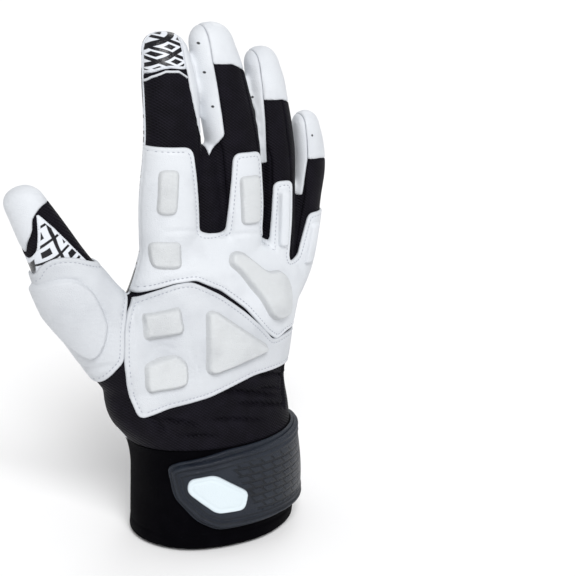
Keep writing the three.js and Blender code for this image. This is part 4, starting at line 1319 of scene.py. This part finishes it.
def knit_group():
    """Height: 0.5 plus 0.33 sin a plus 0.17 sin b, where a and b are the slanted x plus or minus z, in
    turns of the pitch, shifted by a slow noise. Tone: that noise."""
    group, given, made = new_group("diagonal knit", ["Vector", "Pitch", "Slant"], ["Height", "Tone"])
    vector = given.outputs["Vector"]
    split = place(group, "ShaderNodeSeparateXYZ", {0: vector})
    x, z = split.outputs[0], split.outputs[2]
    wander = place(group, "ShaderNodeTexNoise", {"Vector": vector, "Scale": 140.0, "Detail": 2.0})
    drift = maths(group, "MULTIPLY", wander.outputs[0], 2.4)
    turn = maths(group, "DIVIDE", 2 * math.pi, given.outputs["Pitch"])
    slanted = maths(group, "MULTIPLY", x, given.outputs["Slant"])
    first, second = [
        maths(group, "SINE", maths(group, "MULTIPLY_ADD", maths(group, kind, slanted, z), turn, drift))
        for kind in ("ADD", "SUBTRACT")]
    cross = maths(group, "MULTIPLY_ADD", second, 0.17, 0.5)
    height = maths(group, "MULTIPLY_ADD", first, 0.33, cross)
    group.links.new(height, made.inputs["Height"])
    group.links.new(wander.outputs[0], made.inputs["Tone"])
    return group


# %% [markdown]
# The grip cloth is printed with a plain geometric pattern: slanted diamond rings in staggered rows, white
# on black, like many grip palms. Two broad plain bands cross the palm where the film is left black.

# %% Node group: print of diamond rings


def print_group():
    """White where the distance from a diamond's outline lies between Line and 0.3. In each cell that
    distance is the size of |u| + |v| - 0.5, with u and v from -0.5 to 0.5, and a slow noise bends u."""
    group, given, made = new_group("diamond ring print", ["Vector", "Cell", "Tall", "Slant", "Line"],
                                   ["White", "Film"])
    vector, cell = given.outputs["Vector"], given.outputs["Cell"]
    split = place(group, "ShaderNodeSeparateXYZ", {0: vector})
    x, z = split.outputs[0], split.outputs[2]
    wander = place(group, "ShaderNodeTexNoise", {"Vector": vector, "Scale": 60.0, "Detail": 1.0})
    drift = maths(group, "MULTIPLY_ADD", wander.outputs[0], 0.5, -0.25)
    tall = maths(group, "MULTIPLY", cell, given.outputs["Tall"])
    u = maths(group, "DIVIDE", maths(group, "MULTIPLY_ADD", z, given.outputs["Slant"], x), cell)
    u = maths(group, "ADD", u, drift)
    v = maths(group, "DIVIDE", z, tall)
    fold_u, fold_v = [
        maths(group, "ABSOLUTE", maths(group, "SUBTRACT", maths(group, "FRACT", value), 0.5))
        for value in (u, v)]
    away = maths(group, "ABSOLUTE", maths(group, "SUBTRACT", maths(group, "ADD", fold_u, fold_v), 0.5))
    line = given.outputs["Line"]
    outer = ramp(group, away, line, maths(group, "ADD", line, 0.03))
    inner = ramp(group, away, 0.29, 0.32, 1.0, 0.0)
    white = maths(group, "MULTIPLY", outer, inner)
    group.links.new(white, made.inputs["White"])
    group.links.new(maths(group, "SUBTRACT", 1.0, white), made.inputs["Film"])
    return group


fine_grain, diagonal_knit, diamond_rings = grain_group(), knit_group(), print_group()
print("node groups:", [g.name for g in bpy.data.node_groups])

# %% [markdown]
# White synthetic leather is slightly blue and a little dirty where hands touch it. Close to a cut edge
# it turns greyer: that is painted shade in the crease where the edge rolls down. Small air holes are
# punched in the finger sides: at this size a hole is a dot of painted shade, so it is only a colour.

# %% Leather, pad leather and thread
# x and z of the small air holes punched in the finger sides, in metres, and the radius of a hole
vents = [(-0.0052, 0.2345), (-0.0044, 0.2218), (-0.0022, 0.2067), (0.0208, 0.2243), (0.0216, 0.2097),
         (0.0422, 0.1895), (0.0555, 0.1900)]
vent_radius = 0.0006
# the colour of a hole: painted shade, as its inside is not modelled
vent_shade = (0.02, 0.02, 0.025, 1)


def vent_mask(tree, lay):
    """1 inside any air hole and 0 outside: a smooth step of the distance to the nearest one."""
    split = place(tree, "ShaderNodeSeparateXYZ", {0: lay})
    flat = place(tree, "ShaderNodeCombineXYZ", {0: split.outputs[0], 2: split.outputs[2]}).outputs[0]
    nearest = None
    for x, z in vents:
        measured = place(tree, "ShaderNodeVectorMath", {0: flat, 1: (x, 0, z)}, operation="DISTANCE")
        away = measured.outputs["Value"]
        nearest = away if nearest is None else maths(tree, "MINIMUM", nearest, away)
    return ramp(tree, nearest, vent_radius * 0.7, vent_radius * 1.2, 1.0, 0.0)


def leather_look(tree, shader, base, soiled, cells, depth, edge_width, rough, punched=False):
    """Grain with stretched wrinkles as relief, and two colours mixed by soiling and by painted edge shade.
    """
    lay, edge = measures(tree)
    grain = use_group(tree, fine_grain, {"Vector": lay, "Cells": cells, "Roughen": 0.5})
    stretched = place(tree, "ShaderNodeMapping", {"Vector": lay, "Scale": (1, 1, 4.5)}).outputs[0]
    wrinkle = place(tree, "ShaderNodeTexNoise", {"Vector": stretched, "Scale": 170.0, "Detail": 4.0})
    height = maths(tree, "MULTIPLY_ADD", wrinkle.outputs[0], 2.2, grain["Height"])
    patches = ramp(tree, grain["Tone"], 0.42, 0.72, 0.0, 0.5)
    # painted shade: greyer towards a cut edge, where the edge rolls down into its crease
    near_edge = ramp(tree, edge, 0.0, edge_width, 0.75, 0.0)
    colour = mixed(tree, maths(tree, "MAXIMUM", patches, near_edge), base, soiled)
    if punched:
        # painted shade in the punched air holes
        colour = mixed(tree, vent_mask(tree, lay), colour, vent_shade)
    feed(tree, shader, {
        "Base Color": colour, "Roughness": ramp(tree, grain["Tone"], 0.3, 0.7, rough - 0.06, rough + 0.08)})
    bumped(tree, shader, height, depth, 0.6)


white_leather = finish_material(
    "white leather", leather_look, base=(0.66, 0.685, 0.72, 1), soiled=(0.53, 0.55, 0.585, 1), cells=1300.0,
    depth=0.00009, edge_width=0.0008, rough=0.5, punched=True)
hand_leather = finish_material(
    "leather of the hand panels", leather_look, base=(0.595, 0.617, 0.65, 1), soiled=(0.47, 0.49, 0.525, 1),
    cells=1300.0, depth=0.00012, edge_width=0.0008, rough=0.52)
# the pads' wider band of painted shade along the edge covers their walls
pad_leather = finish_material(
    "pad leather", leather_look, base=(0.625, 0.645, 0.66, 1), soiled=(0.46, 0.475, 0.495, 1), cells=1500.0,
    depth=0.00018, edge_width=0.0022, rough=0.58)


def thread_look(tree, shader):
    """Two greys mixed by a noise as fine as the twist of the thread: partly its own grey, partly painted
    shade.
    """
    coordinates = place(tree, "ShaderNodeTexCoord").outputs["Object"]
    twist = place(tree, "ShaderNodeTexNoise", {"Vector": coordinates, "Scale": 2500.0})
    # the thread's grey, darkened in part as painted shade of the stitch holes
    colour = mixed(tree, twist.outputs[0], (0.27, 0.285, 0.33, 1), (0.46, 0.48, 0.54, 1))
    feed(tree, shader, {"Base Color": colour, "Roughness": 0.6})


thread = finish_material("sewing thread", thread_look)

# %% [markdown]
# The mesh and the cuff are both black knits. The mesh is coarse and diagonal with a faint shine, and the
# cuff is a fine jersey over foam, whose stitches only show close up.

# %% Mesh cloth and cuff


def black_knit(tree, shader, pitch, slant, depth, dark, light, lift, shine):
    """The knit's height is both the relief and, with a slow noise for wear, the mix of two near blacks: the
    knit's hollows are painted shade and its loops painted highlight. The cloth is smoother away from its
    edge, where it is stretched."""
    lay, edge = measures(tree)
    knit = use_group(tree, diagonal_knit, {"Vector": lay, "Pitch": pitch, "Slant": slant})
    worn = ramp(tree, knit["Tone"], 0.35, 0.75, 0.0, lift)
    # painted shade in the knit's hollows and painted highlight on its loops, plus wear
    tone = maths(tree, "MULTIPLY_ADD", knit["Height"], 0.75, worn)
    feed(tree, shader, {
        "Base Color": mixed(tree, tone, dark, light), "Roughness": ramp(tree, edge, 0.0, 0.0015, 0.9, 0.62),
        "Specular IOR Level": shine, "Sheen Weight": 0.01, "Sheen Roughness": 0.4})
    bumped(tree, shader, knit["Height"], depth)


mesh_cloth = finish_material(
    "black mesh cloth", black_knit, pitch=0.0014, slant=0.7, depth=0.00032, dark=(0.001, 0.0008, 0.0015, 1),
    light=(0.009, 0.0078, 0.0135, 1), lift=0.3, shine=0.08)
cuff_cloth = finish_material(
    "black knitted neoprene", black_knit, pitch=0.0008, slant=1.0, depth=0.00013,
    dark=(0.001, 0.0009, 0.0015, 1), light=(0.0024, 0.0022, 0.0033, 1), lift=0.4, shine=0.01)

# %% [markdown]
# The grip film is silicone: glossy where it is black, a little softer where it is white, and slightly
# raised. On the palm two plain bands leave the film black, worked out as distances from two lines.

# %% Grip print
# x, z on the line, direction, half width: in metres and degrees
palm_bands = [(0.004, 0.118, 24, 0.0085), (-0.012, 0.082, -38, 0.0075)]


def band_mask(tree, lay):
    """1 inside any band: a step of the distance from its middle line, which is z cos a - x sin a less
    its value at the point on the line."""
    split = place(tree, "ShaderNodeSeparateXYZ", {0: lay})
    total = None
    for x, z, angle, half in palm_bands:
        c, s = math.cos(math.radians(angle)), math.sin(math.radians(angle))
        away = maths(tree, "SUBTRACT", maths(tree, "MULTIPLY", split.outputs[2], c),
                     maths(tree, "MULTIPLY_ADD", split.outputs[0], s, z * c - x * s))
        inside = ramp(tree, maths(tree, "ABSOLUTE", away), half, half + 0.0006, 1.0, 0.0)
        total = inside if total is None else maths(tree, "MAXIMUM", total, inside)
    return total


def grip_look(tree, shader, cell, tall, slant, line, bands=False):
    """The print with a white margin along the seams, and the film's height and gloss under it."""
    lay, edge = measures(tree)
    rings = use_group(tree, diamond_rings, {
        "Vector": lay, "Cell": cell, "Tall": tall, "Slant": slant, "Line": line})
    film = rings["Film"]
    white = maths(tree, "MAXIMUM", rings["White"], ramp(tree, edge, 0.001, 0.0013, 1.0, 0.0))
    if bands:
        plain = band_mask(tree, lay)
        white = maths(tree, "MULTIPLY", white, maths(tree, "SUBTRACT", 1.0, plain))
        film = maths(tree, "MAXIMUM", film, plain)
    feed(tree, shader, {
        "Base Color": mixed(tree, white, (0.004, 0.004, 0.007, 1), (0.7, 0.73, 0.78, 1)),
        "Roughness": ramp(tree, white, 0.0, 1.0, 0.22, 0.42), "Specular IOR Level": 0.3,
        "Coat Weight": 0.12, "Coat Roughness": 0.15})
    grain = use_group(tree, fine_grain, {"Vector": lay, "Cells": 900.0, "Roughen": 0.8})
    height = maths(tree, "MULTIPLY_ADD", grain["Height"], 0.25, film)
    bumped(tree, shader, height, 0.00018)


palm_print = finish_material(
    "palm grip print", grip_look, cell=0.0085, tall=1.45, slant=0.5, line=0.09, bands=True)
thumb_print = finish_material("thumb grip print", grip_look, cell=0.0125, tall=1.1, slant=-0.6, line=0.06)
tip_print = finish_material("fingertip grip print", grip_look, cell=0.015, tall=0.42, slant=0.35, line=0.12)

# %% [markdown]
# The strap is charcoal rubber with a fine pebble. The side that points to the little finger carries low
# staggered blocks: the mortar of a brick pattern is their grooves, which are lower and painted darker as
# shade, like the grooves of the rim. The badge is plain and white.

# %% Rubber and badge
# distances from the edge of the two grooves of the rim, which get painted shade, in metres
shaded_rim_grooves = (0.0021, 0.0046)


def rubber_look(tree, shader, blocks=False):
    """Pebbled rubber, with painted shade in the rim's grooves and, with blocks, in the grooves between them.
    """
    lay, edge = measures(tree)
    grain = use_group(tree, fine_grain, {"Vector": lay, "Cells": 1600.0, "Roughen": 0.6})
    height = maths(tree, "MULTIPLY", grain["Height"], 0.1)
    dark = None
    for groove in shaded_rim_grooves:
        away = maths(tree, "ABSOLUTE", maths(tree, "SUBTRACT", edge, groove))
        line = ramp(tree, away, 0.0001, 0.0006, 1.0, 0.0)
        dark = line if dark is None else maths(tree, "MAXIMUM", dark, line)
    if blocks:
        split = place(tree, "ShaderNodeSeparateXYZ", {0: lay})
        x, z = split.outputs[0], split.outputs[2]
        slanted = maths(tree, "MULTIPLY_ADD", z, 0.85, x)
        flat = place(tree, "ShaderNodeCombineXYZ", {0: slanted, 1: z}).outputs[0]
        brick = place(tree, "ShaderNodeTexBrick", {
            "Vector": flat, "Color1": (1, 1, 1, 1), "Color2": (1, 1, 1, 1), "Mortar": (0, 0, 0, 1),
            "Scale": 1.0, "Mortar Size": 0.00075, "Mortar Smooth": 0.6, "Brick Width": 0.0064,
            "Row Height": 0.0037})
        ridge = ramp(tree, brick.outputs["Fac"], 0.0, 1.0)
        start = maths(tree, "MULTIPLY_ADD", z, 0.5, x)
        field = maths(tree, "MULTIPLY", ramp(tree, start, 0.013, 0.015), ramp(tree, edge, 0.0052, 0.006))
        seam = maths(tree, "MULTIPLY", ridge, field)
        dark = maths(tree, "MAXIMUM", dark, seam)
        height = maths(tree, "SUBTRACT", height, seam)
    tone = ramp(tree, grain["Tone"], 0.35, 0.7)
    plain = mixed(tree, tone, (0.0085, 0.0118, 0.02, 1), (0.0155, 0.0205, 0.031, 1))
    # painted shade in the rim's grooves and in the grooves between the blocks
    colour = mixed(tree, maths(tree, "MULTIPLY", dark, 0.6), plain, (0.003, 0.004, 0.006, 1))
    feed(tree, shader, {
        "Base Color": colour, "Roughness": ramp(tree, grain["Tone"], 0.3, 0.7, 0.34, 0.48),
        "Specular IOR Level": 0.28})
    bumped(tree, shader, height, 0.0009)


strap_rubber = finish_material("moulded strap rubber", rubber_look, blocks=True)
base_rubber = finish_material("strap base rubber", rubber_look)


def badge_look(tree, shader):
    """Pebbled white rubber that is greyer along its edge."""
    lay, edge = measures(tree)
    grain = use_group(tree, fine_grain, {"Vector": lay, "Cells": 1400.0, "Roughen": 0.8})
    near_edge = ramp(tree, edge, 0.0, 0.0009, 0.6, 0.0)
    feed(tree, shader, {
        "Base Color": mixed(tree, near_edge, (0.66, 0.74, 0.78, 1), (0.42, 0.47, 0.52, 1)),
        "Roughness": ramp(tree, grain["Tone"], 0.3, 0.7, 0.36, 0.46)})
    bumped(tree, shader, grain["Height"], 0.00004)


badge_white = finish_material("white badge rubber", badge_look)

# %% [markdown]
# Each piece gets its finish by its own name where it has one of its own, and otherwise by its kind: the
# pads, the stitches, the black cloth, and white leather for all the rest.

# %% Dress the pieces
look_of = {
    "palm_panel": palm_print, "thumb_print_panel": thumb_print, "index_tip_wrap": tip_print,
    "cuff": cuff_cloth, "strap_base": base_rubber, "strap_cover": strap_rubber, "strap_badge": badge_white,
    "hand_back_panel": hand_leather, "thumb_base_panel": hand_leather, "thumb_base_pad": hand_leather,
    "ring_finger_pad": white_leather, "pinky_finger_pad": white_leather,
}


def finish_of(name):
    """The material of a piece."""
    if name in look_of:
        return look_of[name]
    if name.endswith("_pad"):
        return pad_leather
    if name.endswith("_stitches"):
        return thread
    return mesh_cloth if cloth_of.get(name) == "mesh_cloth" else white_leather


for name, piece in pieces.items():
    piece.data.materials.clear()
    piece.data.materials.append(finish_of(name))
print("dressed:", len(pieces), "pieces")

# %% [markdown]
# The glove stands in a plain pale studio. The camera is where the photographer stood: a little to the
# thumb's side and above, far enough away that the fingers hardly taper.

# %% Studio
camera_place = (-0.25272, -0.47530, 0.27436)
camera_right = (0.85442, -0.51849, 0.03356)
camera_up = (0.11466, 0.25117, 0.96113)
camera_forward = (0.50677, 0.81736, -0.27406)
camera_lens = 72.92
# the floor lies a little below the cuff's rim, and its half side in metres is far past the picture
floor_drop = 0.0015
floor_reach = 20.0
# the white world lights the glove with this share of the strength that the camera sees
world_light = 0.52


def set_camera():
    """The camera, from its place and its three axes."""
    data = bpy.data.cameras.new("studio camera")
    data.lens = camera_lens
    data.sensor_width = 36
    camera = bpy.data.objects.new("studio camera", data)
    axes = Matrix((camera_right, camera_up, [-v for v in camera_forward])).transposed().to_4x4()
    axes.translation = camera_place
    camera.matrix_world = axes
    bpy.context.scene.collection.objects.link(camera)
    bpy.context.scene.camera = camera


def soft_sun(name, toward, strength, spread=30):
    """A distant lamp in the direction toward, as wide as spread degrees, so that its shadows are soft."""
    data = bpy.data.lights.new(name, "SUN")
    data.energy = strength
    data.angle = math.radians(spread)
    lamp = bpy.data.objects.new(name, data)
    z = np.array(toward) / np.linalg.norm(toward)
    x = np.cross((0, 0, 1), z)
    x /= np.linalg.norm(x)
    lamp.matrix_world = Matrix((x, np.cross(z, x), z)).transposed().to_4x4()
    bpy.context.scene.collection.objects.link(lamp)


def pale_floor():
    """One large square in a matt, nearly white finish."""
    mesh = bpy.data.meshes.new("pale floor")
    corners = [(-1, -1), (1, -1), (1, 1), (-1, 1)]
    mesh.from_pydata([(x * floor_reach, y * floor_reach, -floor_drop) for x, y in corners], [],
                     [(0, 1, 2, 3)])
    floor = bpy.data.objects.new("pale_floor", mesh)
    bpy.context.scene.collection.objects.link(floor)
    matt = {"Base Color": (0.96, 0.96, 0.965, 1), "Roughness": 0.9}
    mesh.materials.append(finish_material("pale floor", lambda tree, shader: feed(tree, shader, matt)))


def studio_world():
    """A white world, brighter to the camera than to the glove, so the background stays white."""
    world = bpy.data.worlds.new("soft studio")
    world.use_nodes = True
    background = world.node_tree.nodes["Background"]
    background.inputs[0].default_value = (1, 1, 1, 1)
    seen = place(world.node_tree, "ShaderNodeLightPath").outputs["Is Camera Ray"]
    strength = ramp(world.node_tree, seen, 0.0, 1.0, world_light, 1.0)
    world.node_tree.links.new(strength, background.inputs[1])
    bpy.context.scene.world = world
    bpy.context.scene.view_settings.view_transform = "Standard"


set_camera()
pale_floor()
studio_world()
soft_sun("key light", (-0.23, -0.80, 0.86), 2.3)
soft_sun("rim light", (0.55, 0.60, 0.58), 0.35)
